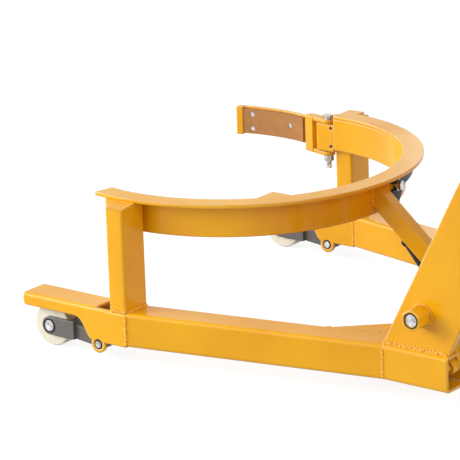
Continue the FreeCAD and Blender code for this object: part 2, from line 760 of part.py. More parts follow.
def clamp_arm():
    start = HINGE_DEG + ARM_FROM
    end = HINGE_DEG + ARM_TO
    plate = sector(ARM_R, ARM_R + ARM_T, ARM_LOW, ARM_TOP, start, end)
    lip = sector(PAD_R - 1, ARM_R + ARM_T, ARM_LOW, ARM_TOP, end - LIP_DEG, end)
    plate = joined(plate, lip)
    for deg, z in rivet_places():
        plate = plate.cut(radial_pin(deg, z, RIVET_R, ARM_R - 1, ARM_R + ARM_T + 1))
    return swung_open(plate)


def clamp_pad():
    start = HINGE_DEG + ARM_FROM + PAD_GAP
    pad = sector(PAD_R, ARM_R, ARM_LOW + PAD_EDGE, ARM_TOP - PAD_EDGE, start, HINGE_DEG + ARM_TO - LIP_DEG)
    for deg, z in rivet_places():
        pad = pad.cut(radial_pin(deg, z, RIVET_R, PAD_R - 2, ARM_R + 1))
        pad = pad.cut(radial_pin(deg, z, RIVET_R + RIVET_HEAD, PAD_R - 2, PAD_R + 2.5))
    return swung_open(pad)


def pad_rivets():
    rivets = []
    for deg, z in rivet_places():
        shank = radial_pin(deg, z, RIVET_R, PAD_R + RIVET_SINK, ARM_R + ARM_T + 1)
        inner = radial_pin(deg, z, RIVET_R + RIVET_HEAD, PAD_R + RIVET_SINK, PAD_R + 2.5)
        outer = radial_pin(deg, z, RIVET_R + RIVET_HEAD, ARM_R + ARM_T, ARM_R + ARM_T + 2)
        outer = outer.cut(zpin(0, 0, ARM_R + ARM_T, 0, 2 * RING_TOP))
        rivets.append(swung_open(joined(shank, inner, outer)))
    return Part.makeCompound(rivets)


# Clamp linkage

def slot_hole(axis, a, b, radius, run_a, run_b, low, high):
    return arm(axis, (a - run_a, b - run_b), (a + run_a, b + run_b), radius, radius, low, high)


def clamp_rod():
    """Rod from the tail of the yoke back through the right post, with a slotted eye at each end."""
    low = CLAMP_ROD_Z - CLAMP_ROD_R
    high = CLAMP_ROD_Z + CLAMP_ROD_R
    body = xpin(CLAMP_ROD_Y, CLAMP_ROD_Z, CLAMP_ROD_R, JOINT_X + 4, TAIL_PIN_X - 5)
    front_half = TAIL_PIN_X - POST_FRONT - 2
    side = CLAMP_ROD_Y + EYE_HALF + 1
    front = box(TAIL_PIN_X - front_half, TAIL_PIN_X + front_half, side - 2 * EYE_HALF, side, low, high)
    side = CLAMP_ROD_Y + EYE_HALF
    back = box(JOINT_X - EYE_HALF, JOINT_X + EYE_HALF, side - 2 * EYE_HALF - 4, side, low + 1, high - 1)
    front_y = CLAMP_ROD_Y + EYE_SLOT / 2
    back_y = CLAMP_ROD_Y - 2.2
    front_slot = slot_hole("z", TAIL_PIN_X, front_y, TAIL_PIN_R + LINK_PLAY, 0, EYE_SLOT, low - 1, high + 1)
    back_slot = slot_hole("z", JOINT_X, back_y, LINK_BOLT_R + LINK_PLAY, 0, EYE_SLOT, low - 1, high + 1)
    return joined(body, front, back).cut(front_slot).cut(back_slot)


def crank_long_end():
    return (CRANK_ARM - CRANK_DOWN, CRANK_OFFSET - CRANK_SIDE)


def crank_short_end():
    turn = math.radians(CRANK_DEG)
    return (-CRANK_DOWN - CRANK_SHORT * math.sin(turn), CRANK_SHORT * math.cos(turn) - CRANK_SIDE)


def link_bar():
    """Flat black bar round the outside of the ring, from the clamp rod to a tongue beside the strut."""
    reach = 2 * FLANGE_R
    shank_far = -LINK_SIDE - LINK_SHANK
    band = [
        (-reach, LINK_LOW),
        (shank_far - LINK_H, LINK_LOW),
        (shank_far, LINK_LOW - LINK_H),
        (shank_far, LINK_FOOT),
        (-LINK_SIDE, LINK_FOOT),
        (-LINK_SIDE, LINK_TOP),
        (-reach, LINK_TOP),
    ]
    curve = sector(LINK_R, LINK_R + LINK_T, LINK_FOOT - 1, LINK_TOP + 1, 180, LINK_ARC_DEG)
    curve = curve.common(prism("x", band, -reach, reach))
    bolt_half = math.degrees((LINK_BOLT_R + LINK_PLAY) / LINK_R)
    half_h = LINK_BOLT_R + LINK_PLAY
    slot_end = LINK_BOLT_DEG + bolt_half
    slot = sector(LINK_R - 1, LINK_R + LINK_T + 1, LINK_BOLT_Z - half_h, LINK_BOLT_Z + half_h, 180, slot_end)
    turn = tangent(LINK_ARC_DEG, LINK_MID)
    run = math.hypot(JOINT_X - turn[0], CLAMP_ROD_Y - turn[1])
    share = 1 - 18.0 / run
    stop = (turn[0] + share * (JOINT_X - turn[0]), turn[1] + share * (CLAMP_ROD_Y - turn[1]))
    straight = arm("z", turn, stop, LINK_T / 2, LINK_T / 2, LINK_LOW, LINK_TOP)
    tab_top = CLAMP_ROD_Z - CLAMP_ROD_R
    tab_t = 6.0
    tab = arm("z", stop, (JOINT_X, CLAMP_ROD_Y), 9.0, 10.0, tab_top - tab_t, tab_top)
    peg_top = CLAMP_ROD_Z + CLAMP_ROD_R + PLAY
    peg = zpin(JOINT_X, CLAMP_ROD_Y, LINK_BOLT_R, tab_top - tab_t, peg_top + tab_t)
    head = hexagon("z", JOINT_X, CLAMP_ROD_Y, 2 * LINK_BOLT_R + 6, peg_top, peg_top + tab_t)
    end = crank_long_end()
    shank_mid = -LINK_SIDE - LINK_SHANK / 2
    tongue = arm("z", (-9.0, shank_mid), end, 9.0, 9.0, -10, -BRACKET_T)
    pin = zpin(end[0], end[1], PEG_R, -CRANK_SINK - CRANK_T - 2, -BRACKET_T)
    return joined(curve.cut(slot), straight, tab, peg, head, on_strut(tongue), on_strut(pin))


def clamp_crank():
    """Flat crank under the bracket that turns the bar's sideways stroke into the pull rod's stroke."""
    high = -CRANK_SINK
    low = high - CRANK_T
    pivot = (-CRANK_DOWN, -CRANK_SIDE)
    long_end = crank_long_end()
    short_end = crank_short_end()
    hub = CRANK_BOLT_R + EYE_WALL + 1
    plate = joined(
        arm("z", pivot, long_end, hub, PEG_R + EYE_WALL, low, high),
        arm("z", pivot, short_end, hub, PEG_R + EYE_WALL - 1, low, high),
    )
    plate = plate.cut(zpin(pivot[0], pivot[1], CRANK_BOLT_R + RUN, low - 1, high + 1))
    run = 1.5
    plate = plate.cut(slot_hole("z", long_end[0], long_end[1], PEG_R + LINK_PLAY, run, 0, low - 1, high + 1))
    peg = zpin(short_end[0], short_end[1], PEG_R, low - 10, high)
    return on_strut(joined(plate, peg))


def pull_rod():
    """Black rod that runs under the strut from the crank to the hand lever."""
    end = crank_short_end()
    z = -PULL_ROD_SINK
    foot_y = -PULL_ROD_SIDE
    eye_half = 3.5
    eye_r = PEG_R + eye_half
    eye = zpin(end[0], end[1], eye_r, z - eye_half, z + eye_half)
    body = rod(vec(-LEVER_DOWN, foot_y, z), vec(end[0], end[1], z), PULL_ROD_R)
    foot = ypin(-LEVER_DOWN, z, 2 * PEG_R, foot_y - PULL_ROD_R, foot_y + PULL_ROD_R)
    peg = ypin(-LEVER_DOWN, z, PEG_R, LEVER_FAR - 2, foot_y)
    body = body.cut(zpin(end[0], end[1], eye_r, z - 2 * eye_half, z + 2 * eye_half))
    whole = joined(body, eye, foot, peg)
    return on_strut(whole.cut(zpin(end[0], end[1], PEG_R + LINK_PLAY, z - 5, z + 5)))


def strut_point(down, off):
    """Side view place of a point given along the strut and off its lower face."""
    turn = math.radians(STRUT_DEG)
    x = STRUT_X - down * math.cos(turn) - off * math.sin(turn)
    z = STRUT_Z - down * math.sin(turn) + off * math.cos(turn)
    return (x, z)


def lever_tip(extra):
    """Side view place along the hand lever, beyond its flat bar by the given length."""
    pivot = strut_point(LEVER_DOWN, STRUT_D / 2)
    lean = math.radians(HAND_LEVER_LEAN)
    reach = HAND_LEVER_L + extra
    return (pivot[0] - reach * math.sin(lean), pivot[1] + reach * math.cos(lean))


def hand_lever():
    hub = HAND_PIVOT_R + EYE_WALL + 2
    pivot = strut_point(LEVER_DOWN, STRUT_D / 2)
    foot = strut_point(LEVER_DOWN, -PULL_ROD_SINK)
    bar = joined(
        arm("y", pivot, foot, hub, PEG_R + EYE_WALL, LEVER_FAR, LEVER_NEAR),
        arm("y", pivot, lever_tip(-10.0), hub, 10.0, LEVER_FAR, LEVER_NEAR),
    )
    bar = bar.cut(ypin(pivot[0], pivot[1], HAND_PIVOT_R + RUN, LEVER_FAR - 1, LEVER_NEAR + 1))
    return bar.cut(ypin(foot[0], foot[1], PEG_R + LINK_PLAY, LEVER_FAR - 1, LEVER_NEAR + 1))


def lever_grip():
    y = (LEVER_NEAR + LEVER_FAR) / 2
    start = lever_tip(0.0)
    end = lever_tip(GRIP_L)
    grip = rod(vec(start[0], y, start[1]), vec(end[0], y, end[1]), GRIP_R)
    rim = [e for e in grip.Edges if len(e.Vertexes) == 1]
    return grip.makeFillet(GRIP_R / 3, rim)


# Load rollers

def roller_lever():
    """Forked lever: square-tailed cheeks at the roller, a hub on the ear pin, an arm for the push rod."""
    half = CHEEK_H / 2
    low = ROLLER_R - half
    high = ROLLER_R + half
    back = AXLE_X - ROLLER_R - CHEEK_TAIL
    front = AXLE_X - ROLLER_R
    hub_r = EAR_PIN_R + EYE_WALL
    cheeks = []
    for y in (LEVER_IN, LEVER_OUT - CHEEK_T):
        cheeks.append(box(back, AXLE_X, y, y + CHEEK_T, low, high))
        cheeks.append(ypin(AXLE_X, ROLLER_R, half, y, y + CHEEK_T))
    neck_side = [(front, low + 2), (front, high - 2), (EAR_X, EAR_Z + hub_r), (EAR_X, EAR_Z - hub_r)]
    neck = prism("y", neck_side, LEVER_IN + CHEEK_T, LEVER_OUT - CHEEK_T)
    neck = neck.cut(ypin(AXLE_X, ROLLER_R, ROLLER_R + ROLLER_SPACE, LEVER_IN, LEVER_OUT))
    hub = ypin(EAR_X, EAR_Z, hub_r, LEVER_IN, LEVER_OUT)
    pin_end = (LEVER_PIN_X, LEVER_PIN_Z)
    half_t = LEVER_ARM_T / 2
    eye = LEVER_PIN_R + LEVER_EYE
    upright = arm("y", (EAR_X, EAR_Z), pin_end, hub_r, eye, LEG_MID - half_t, LEG_MID + half_t)
    pin = ypin(LEVER_PIN_X, LEVER_PIN_Z, LEVER_PIN_R, LEG_MID - JAW_HALF, LEG_MID + JAW_HALF)
    whole = joined(neck, hub, upright, pin, *cheeks)
    whole = whole.cut(ypin(EAR_X, EAR_Z, EAR_PIN_R + RUN, 0, 2 * NOSE_OUT))
    return whole.cut(ypin(AXLE_X, ROLLER_R, AXLE_R, 0, 2 * NOSE_OUT))


def roller_axle():
    pin = ypin(AXLE_X, ROLLER_R, AXLE_R, LEVER_IN - 1.5, LEVER_OUT + 1.5)
    return pin.makeChamfer(1.0, [e for e in pin.Edges if len(e.Vertexes) == 1])


def load_roller():
    wheel = ypin(AXLE_X, ROLLER_R, ROLLER_R, LEG_MID - ROLLER_W / 2, LEG_MID + ROLLER_W / 2)
    wheel = wheel.makeFillet(3.0, [e for e in wheel.Edges if len(e.Vertexes) == 1])
    return wheel.cut(ypin(AXLE_X, ROLLER_R, AXLE_R + RUN, 0, 2 * NOSE_OUT))


# Lift linkage

def push_rod():
    """Flat bar inside the leg from the rocker to the roller lever, bent to follow the slanted tube."""
    eye_mid = TAIL_MID
    eye = ypin(ROD_PIN_X, ROD_PIN_Z, ROD_PIN_R + EYE_WALL + 1, eye_mid - 8, eye_mid + 8)
    jaw_z = LEVER_PIN_Z
    base_front = LEVER_PIN_X - 18
    base_back = base_front - 16
    half = JAW_HALF
    tine = JAW_T
    base = box(base_back, base_front, LEG_MID - half, LEG_MID + half, jaw_z - 9, jaw_z + 7)
    tines = []
    for low in (LEG_MID - half, LEG_MID + half - tine):
        tines.append(box(base_front, LEVER_PIN_X + 11, low, low + tine, jaw_z - 14, jaw_z + 6))
    side = PUSH_ROD_T / 2
    middle = [(ROD_PIN_X, eye_mid), (BEND_X - 5, eye_mid), (base_back + 6, LEG_MID)]
    outline = [(x, y - side) for x, y in middle] + [(x, y + side) for x, y in reversed(middle)]
    bar = prism("z", outline, ROD_PIN_Z - 4, jaw_z + 1.5)
    whole = joined(eye, bar, base, *tines)
    whole = whole.cut(ypin(ROD_PIN_X, ROD_PIN_Z, ROD_PIN_R + RUN, 0, NOSE_OUT))
    jaw = LEVER_PIN_R + JAW_PLAY
    mouth = box(LEVER_PIN_X - jaw, LEVER_PIN_X + jaw, 0, NOSE_OUT, jaw_z - 5, jaw_z + 20)
    return whole.cut(mouth).cut(ypin(LEVER_PIN_X, jaw_z - 5, jaw, 0, NOSE_OUT))


def rocker_shaft():
    end = PLATE_OUT + BOSS_L - 1
    shaft = ypin(SHAFT_X, SHAFT_Z, SHAFT_R, -end, end)
    return shaft.makeChamfer(1.0, [e for e in shaft.Edges if len(e.Vertexes) == 1])


def rocker_arms():
    """Lower arm of the rocker, let into the leg tail, with the pin that drives the push rod."""
    low = TAIL_IN + LEG_WALL + 3
    high = low + ROCKER_T
    shaft = (SHAFT_X, SHAFT_Z)
    body = arm("y", shaft, (ROD_PIN_X, ROD_PIN_Z), SHAFT_R + EYE_WALL, ROD_PIN_R + EYE_WALL, low, high)
    hub = ypin(SHAFT_X, SHAFT_Z, SHAFT_R + EYE_WALL + 3, low - 2, high + 6)
    pin = ypin(ROD_PIN_X, ROD_PIN_Z, ROD_PIN_R, low, TAIL_MID + 14)
    return both(joined(body, hub, pin).cut(ypin(SHAFT_X, SHAFT_Z, SHAFT_R, 0, NOSE_OUT)))


def swing_arms():
    """Rear arm of the rocker, slotted round the side pin of the pump carriage."""
    low = SWING_ARM_Y - ROCKER_T / 2
    high = SWING_ARM_Y + ROCKER_T / 2
    far = math.hypot(PUMP_BACK, LIFT / 2)
    run_x = -PUMP_BACK / far
    run_z = LIFT / 2 / far
    near = PUMP_BACK - 0.5
    eye = CARRIAGE_PIN_R + 2 * EYE_WALL
    body = arm("y", (SHAFT_X, SHAFT_Z), (PUMP_X, CARRIAGE_Z), SHAFT_R + EYE_WALL, eye, low, high)
    hub = ypin(SHAFT_X, SHAFT_Z, SHAFT_R + EYE_WALL + 3, low - 3, high + 3)
    start = (SHAFT_X + near * run_x, SHAFT_Z + near * run_z)
    stop = (SHAFT_X + (far + 0.5) * run_x, SHAFT_Z + (far + 0.5) * run_z)
    radius = CARRIAGE_PIN_R + LINK_PLAY
    slot = arm("y", start, stop, radius, radius, low - 1, high + 1)
    return both(joined(body, hub).cut(slot).cut(ypin(SHAFT_X, SHAFT_Z, SHAFT_R, 0, NOSE_OUT)))


def pump_carriage():
    """Plate that the pump swivels in, hung on the rocker's rear arms."""
    plate = box(PUMP_X - 55, PUMP_X + 55, -CARRIAGE_HALF, CARRIAGE_HALF, CARRIAGE_LOW, CARRIAGE_TOP)
    plate = plate.cut(zpin(PUMP_X, 0, NECK_R + RUN, CARRIAGE_LOW - 1, CARRIAGE_TOP + 1))
    for side in (-1, 1):
        ends = sorted((side * (CARRIAGE_HALF - 30), side * (CARRIAGE_HALF + 1)))
        plate = plate.cut(ypin(PUMP_X, CARRIAGE_Z, CARRIAGE_PIN_R, ends[0], ends[1]))
    return plate


def carriage_pins():
    end = SWING_ARM_Y + ROCKER_T / 2 + 6
    pin = joined(
        ypin(PUMP_X, CARRIAGE_Z, CARRIAGE_PIN_R, CARRIAGE_HALF - 30, end),
        ypin(PUMP_X, CARRIAGE_Z, CARRIAGE_PIN_R + 4, end - 5, end),
    )
    return both(pin)


# Pump, steering and drawbar

def pump_body():
    """Pump casting: wheel block, swivel neck, cylinder, oil tank and the lugs of the drawbar."""
    half_l = NECK_R - 4
    block_low = WHEEL_R - BLOCK_DROP
    block = box(PUMP_X - half_l, PUMP_X + half_l, -PUMP_HALF_W, PUMP_HALF_W, block_low, CARRIAGE_LOW - 2)
    neck = zpin(PUMP_X, 0, NECK_R, CARRIAGE_LOW - 2, CARRIAGE_TOP + 2)
    collar = zpin(PUMP_X, 0, NECK_R + 10, CARRIAGE_TOP + PLAY, CARRIAGE_TOP + COLLAR_H)
    cylinder = zpin(PUMP_X, 0, CYLINDER_R, CARRIAGE_TOP + 2, CYLINDER_TOP)
    tank_low = CARRIAGE_TOP + COLLAR_H
    tank = box(PUMP_X, PUMP_X + TANK_AHEAD, -TANK_HALF, TANK_HALF, tank_low, tank_low + TANK_H)
    tank = tank.makeFillet(TANK_BEND, [e for e in tank.Edges if abs(e.Vertexes[0].Z - e.Vertexes[1].Z) > 1])
    lugs = []
    for y in (-PUMP_HALF_W - DRAWBAR_LUG_T, PUMP_HALF_W):
        far = y + DRAWBAR_LUG_T
        low = DRAWBAR_Z - DRAWBAR_HUB_R
        lugs.append(box(DRAWBAR_X, PUMP_X - 10, y, far, low, low + 2 * DRAWBAR_HUB_R))
        lugs.append(ypin(DRAWBAR_X, DRAWBAR_Z, DRAWBAR_HUB_R, y, far))
    out = PUMP_HALF_W + DRAWBAR_LUG_T
    rise = DRAWBAR_HUB_R + 8
    shoulder = box(PUMP_X - CYLINDER_R, PUMP_X, -out, out, DRAWBAR_Z - rise, DRAWBAR_Z + rise)
    whole = joined(block, neck, collar, cylinder, tank, shoulder, *lugs)
    whole = whole.cut(zpin(PUMP_X, 0, RAM_R + RUN, RAM_LOW - LIFT, CYLINDER_TOP + 1))
    whole = whole.cut(ypin(DRAWBAR_X, DRAWBAR_Z, DRAWBAR_PIN_R, -WHEEL_R, WHEEL_R))
    return whole.cut(ypin(PUMP_X, WHEEL_R, STEER_AXLE_R, -WHEEL_R, WHEEL_R))


def steer_axle():
    end = PUMP_HALF_W + WHEEL_SPACE + WHEEL_W + 5
    cap_r = STEER_AXLE_R + 5
    cap_t = 4.0
    shaft = ypin(PUMP_X, WHEEL_R, STEER_AXLE_R, -end, end)
    cap = ypin(PUMP_X, WHEEL_R, cap_r, end - cap_t, end)
    return joined(shaft, cap, mirrored(cap))


def wheel_span():
    return (PUMP_HALF_W + WHEEL_SPACE, PUMP_HALF_W + WHEEL_SPACE + WHEEL_W)


def steer_wheel():
    low, high = wheel_span()
    hub = ypin(PUMP_X, WHEEL_R, WHEEL_R - TYRE_T, low, high)
    for face in (low - 1, high - 9):
        dish = ypin(PUMP_X, WHEEL_R, WHEEL_R - TYRE_T - 8, face, face + 10)
        hub = hub.cut(dish.cut(ypin(PUMP_X, WHEEL_R, WHEEL_HUB_R, face, face + 10)))
    return hub.cut(ypin(PUMP_X, WHEEL_R, STEER_AXLE_R + RUN, low - 1, high + 1))


def steer_tyre():
    low, high = wheel_span()
    tyre = ypin(PUMP_X, WHEEL_R, WHEEL_R, low, high)
    tyre = tyre.makeFillet(6.0, [e for e in tyre.Edges if len(e.Vertexes) == 1])
    return tyre.cut(ypin(PUMP_X, WHEEL_R, WHEEL_R - TYRE_T, low - 1, high + 1))


def leaned(shape):
    """Lean a piece of the drawbar, drawn upright over its pivot, back to its parked angle."""
    shape.rotate(vec(DRAWBAR_X, 0, DRAWBAR_Z), vec(0, 1, 0), -DRAWBAR_LEAN)
    return shape


def drawbar_base():
    half = PUMP_HALF_W - PLAY
    seat = DRAWBAR_Z + SOCKET_SEAT
    hub = ypin(DRAWBAR_X, DRAWBAR_Z, DRAWBAR_HUB_R, -half, half)
    socket = zpin(DRAWBAR_X, 0, DRAWBAR_R + SOCKET_WALL, DRAWBAR_Z, DRAWBAR_Z + SOCKET_L)
    socket = socket.cut(zpin(DRAWBAR_X, 0, DRAWBAR_R, seat, DRAWBAR_Z + SOCKET_L + 1))
    whole = joined(hub, socket).cut(ypin(DRAWBAR_X, DRAWBAR_Z, DRAWBAR_PIN_R + RUN, -half - 1, half + 1))
    return leaned(whole)


def drawbar_tube():
    low = DRAWBAR_Z + SOCKET_SEAT
    high = DRAWBAR_Z + DRAWBAR_L
    tube = zpin(DRAWBAR_X, 0, DRAWBAR_R, low, high)
    return leaned(tube.cut(zpin(DRAWBAR_X, 0, DRAWBAR_R - DRAWBAR_WALL, low - 1, high - 5)))


def drawbar_pin():
    head_t = 3.0
    end = PUMP_HALF_W + DRAWBAR_LUG_T + head_t
    pin = ypin(DRAWBAR_X, DRAWBAR_Z, DRAWBAR_PIN_R, -end, end)
    head = ypin(DRAWBAR_X, DRAWBAR_Z, DRAWBAR_PIN_R + 4, end - head_t, end)
    return joined(pin, head, mirrored(head))


def trigger_z():
    return DRAWBAR_Z + DRAWBAR_L + TRIGGER_UP


def handle_loop():
    """Closed hand loop on top of the drawbar, with two ears for the release lever."""
    x = DRAWBAR_X
    low = DRAWBAR_Z + DRAWBAR_L + LOOP_R
    high = low + LOOP_H
    bend = LOOP_BEND * (1 - math.sqrt(0.5))

    def corner(side, z, sign):
        return Part.Arc(
            vec(x, side * (LOOP_HALF - LOOP_BEND), z),
            vec(x, side * (LOOP_HALF - bend), z + sign * bend),
            vec(x, side * LOOP_HALF, z + sign * LOOP_BEND),
        ).toShape()

    flat = LOOP_HALF - LOOP_BEND
    edges = edge([vec(x, 0, low), vec(x, flat, low)]) + [corner(1, low, 1)]
    edges += edge([vec(x, LOOP_HALF, low + LOOP_BEND), vec(x, LOOP_HALF, high - LOOP_BEND)])
    edges += [corner(1, high, -1)]
    edges += edge([vec(x, flat, high), vec(x, -flat, high)]) + [corner(-1, high, -1)]
    edges += edge([vec(x, -LOOP_HALF, high - LOOP_BEND), vec(x, -LOOP_HALF, low + LOOP_BEND)])
    edges += [corner(-1, low, 1)] + edge([vec(x, -flat, low), vec(x, 0, low)])
    path = Part.Wire(Part.__sortEdges__(edges))
    ring = Part.Wire(Part.makeCircle(LOOP_R, vec(x, 0, low), vec(0, 1, 0)))
    loop = path.makePipeShell([ring], True, False)
    foot = zpin(x, 0, DRAWBAR_R, DRAWBAR_Z + DRAWBAR_L, low + 2)
    ears = []
    for y in (-TRIGGER_HALF - TRIGGER_EAR_T, TRIGGER_HALF):
        far = y + TRIGGER_EAR_T
        ears.append(box(x - TRIGGER_EAR_R, x + TRIGGER_EAR_R, y, far, low, trigger_z()))
        ears.append(ypin(x, trigger_z(), TRIGGER_EAR_R, y, far))
    whole = joined(loop, foot, *ears)
    return leaned(whole.cut(ypin(x, trigger_z(), TRIGGER_PIN_R, -2 * TRIGGER_HALF, 2 * TRIGGER_HALF)))


def trigger_pin():
    end = TRIGGER_HALF + TRIGGER_EAR_T + 1
    return leaned(ypin(DRAWBAR_X, trigger_z(), TRIGGER_PIN_R, -end, end))


def release_lever():
    z = trigger_z()
    half = TRIGGER_HALF - PLAY
    side = TRIGGER_T / 2
    hub = ypin(DRAWBAR_X, z, 2 * TRIGGER_PIN_R, -half, half)
    blade = box(DRAWBAR_X - side, DRAWBAR_X + side, -half, half, z, z + TRIGGER_L)
    return leaned(joined(hub, blade).cut(ypin(DRAWBAR_X, z, TRIGGER_PIN_R + RUN, -half - 1, half + 1)))


def build():
    nodes = {}
    for name, make in (
        ("nose", nose),
        ("leg_tube", leg_tube),
        ("leg_tail", leg_tail),
        ("side_plate", side_plate),
        ("roller_lever", roller_lever),
        ("roller_axle", roller_axle),
        ("load_roller", load_roller),
        ("push_rod", push_rod),
        ("steer_wheel", steer_wheel),
        ("steer_tyre", steer_tyre),
    ):
        shape = make()
        nodes[name + "_left"] = shape
        nodes[name + "_right"] = mirrored(shape)
    for make in (
        post_left, post_right,
        cradle_web, cradle_flange, hinge_lug, hinge_bolt, strut, cross_plate, cross_beam, apron, head_beam,
        shaft_bosses, lift_ram, link_boss, linkage_bolts, ear_bushes, ear_pins,
        clamp_yoke, clamp_arm, clamp_pad, pad_rivets, clamp_rod, link_bar, clamp_crank, pull_rod,
        hand_lever, lever_grip, rocker_shaft, rocker_arms, swing_arms, pump_carriage, carriage_pins,
        pump_body, steer_axle, drawbar_base, drawbar_tube, drawbar_pin, handle_loop, trigger_pin,
        release_lever,
    ):
        nodes[make.__name__] = make()
    return nodes


def origin_shift(nodes):
    """Distance from the drum axis to the middle of the overall box, along the trolley."""
    front = nodes["clamp_arm"].optimalBoundingBox(True, False).XMax
    back = nodes["handle_loop"].optimalBoundingBox(True, False).XMin
    return -(front + back) / 2


NODES = build()
SHIFT_X = origin_shift(NODES)

os.makedirs("parts", exist_ok=True)
for node, shape in NODES.items():
    shape.translate(vec(SHIFT_X, 0, 0))
    shape.exportStep("parts/" + node + ".step")
print("nodes", len(NODES), "shift", round(SHIFT_X, 3))
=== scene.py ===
import bmesh
import bpy
import math
from mathutils import Matrix, Vector


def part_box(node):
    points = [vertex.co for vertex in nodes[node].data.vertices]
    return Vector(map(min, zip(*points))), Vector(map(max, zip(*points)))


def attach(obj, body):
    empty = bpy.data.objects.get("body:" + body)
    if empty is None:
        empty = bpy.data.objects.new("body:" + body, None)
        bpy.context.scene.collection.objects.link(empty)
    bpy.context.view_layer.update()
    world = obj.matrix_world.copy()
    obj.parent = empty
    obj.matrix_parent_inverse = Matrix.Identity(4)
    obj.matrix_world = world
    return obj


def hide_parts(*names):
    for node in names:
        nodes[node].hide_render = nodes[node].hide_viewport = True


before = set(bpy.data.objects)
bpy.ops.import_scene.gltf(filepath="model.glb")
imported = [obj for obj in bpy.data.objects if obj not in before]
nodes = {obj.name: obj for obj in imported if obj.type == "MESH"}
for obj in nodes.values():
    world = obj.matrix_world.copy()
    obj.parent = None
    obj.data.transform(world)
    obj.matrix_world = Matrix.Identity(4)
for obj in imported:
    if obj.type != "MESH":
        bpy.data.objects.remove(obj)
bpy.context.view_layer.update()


# The studio: a paper floor, a soft window on the trolley's left, a wider one off its left nose
# and weak fills from behind and from the right. The camera stands behind the left leg.
scene = bpy.context.scene
scene.view_settings.view_transform = 'Standard'
web_past_axis = 0.002
drum_axis_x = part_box("cradle_web")[1][0] - web_past_axis

picture_size = 460.0
focal_pixels = 2863.84
centre_x, centre_y = 240.6, 224.78
film_width = 36.0
lens = bpy.data.cameras.new("photo_lens")
lens.sensor_width = film_width
lens.lens = focal_pixels * film_width / picture_size
lens.shift_x = -(centre_x - picture_size / 2) / picture_size
lens.shift_y = -(picture_size / 2 - centre_y) / picture_size
lens.clip_end = 40.0
camera = bpy.data.objects.new("photo_camera", lens)
scene.collection.objects.link(camera)
turn = math.radians(127.8806)
rise = math.radians(16.8687)
roll = math.radians(-1.8937)
aim_height = 0.150
distance = 5.09135
back = Vector((math.cos(rise) * math.cos(turn), math.cos(rise) * math.sin(turn), math.sin(rise)))
level = (-back).cross(Vector((0, 0, 1))).normalized()
upright = level.cross(-back)
right = math.cos(roll) * level + math.sin(roll) * upright
up = math.cos(roll) * upright - math.sin(roll) * level
stand = Vector((drum_axis_x, 0, aim_height)) + back * distance
camera.matrix_world = Matrix.Translation(stand) @ Matrix((right, up, back)).transposed().to_4x4()
scene.camera = camera


def lamp(name, place, aim, width, height, power):
    """A soft box that faces the trolley."""
    light = bpy.data.lights.new(name, 'AREA')
    light.shape = 'RECTANGLE'
    light.size = width
    light.size_y = height
    light.energy = power
    holder = bpy.data.objects.new(name, light)
    scene.collection.objects.link(holder)
    holder.location = place
    holder.rotation_euler = (Vector(aim) - Vector(place)).to_track_quat('-Z', 'Y').to_euler()


lamp("window", place=(2.4, 4.3, 2.2), aim=(0.1, 0.0, 0.2), width=4.4, height=2.8, power=130)
lamp("wide_window", place=(5.4, 2.9, 2.4), aim=(0.1, 0.0, 0.2), width=4.4, height=2.8, power=270)
lamp("fill", place=(-3.2, 0.4, 1.5), aim=(0.0, 0.0, 0.3), width=2.2, height=2.0, power=40)
lamp("right_fill", place=(1.2, -4.2, 1.8), aim=(0.0, 0.0, 0.3), width=3.0, height=2.2, power=22)


def step(tree, kind, inputs, **settings):
    """One node of a finish. Each input is a value, or the output that feeds it."""
    made = tree.nodes.new("ShaderNode" + kind)
    for key, value in settings.items():
        setattr(made, key, value)
    for key, value in inputs.items():
        if isinstance(value, bpy.types.NodeSocket):
            tree.links.new(value, made.inputs[key])
        else:
            made.inputs[key].default_value = value
    return made


def ranged(tree, value, low=0.0, high=1.0, at_low=0.0, at_high=1.0):
    """Stretches a value from between low and high to between at_low and at_high."""
    limits = {"From Min": low, "From Max": high, "To Min": at_low, "To Max": at_high}
    return step(tree, "MapRange", {"Value": value, **limits}).outputs[0]


def in_sight(tree):
    """1 where the camera sees a surface, straight, mirrored or through glass, and 0 elsewhere."""
    ray = step(tree, "LightPath", {}).outputs
    pair = {0: ray["Is Camera Ray"], 1: ray["Is Glossy Ray"]}
    either = step(tree, "Math", pair, operation='MAXIMUM').outputs[0]
    pair = {0: either, 1: ray["Is Transmission Ray"]}
    return step(tree, "Math", pair, operation='MAXIMUM').outputs[0]


room = bpy.data.worlds.new("white_room")
scene.world = room
room.use_nodes = True
air = room.node_tree.nodes["Background"]
air.inputs["Color"].default_value = (1.0, 1.0, 1.0, 1.0)
strength = ranged(room.node_tree, in_sight(room.node_tree), at_low=0.49, at_high=1.0)
room.node_tree.links.new(strength, air.inputs["Strength"])

floor_radius = 9.0
floor_drop = 0.0004
paper_shape = bmesh.new()
bmesh.ops.create_circle(paper_shape, cap_ends=True, segments=96, radius=floor_radius)
paper_mesh = bpy.data.meshes.new("paper_floor")
paper_shape.to_mesh(paper_mesh)
paper_shape.free()
floor = bpy.data.objects.new("paper_floor", paper_mesh)
floor.location.z = -floor_drop
scene.collection.objects.link(floor)

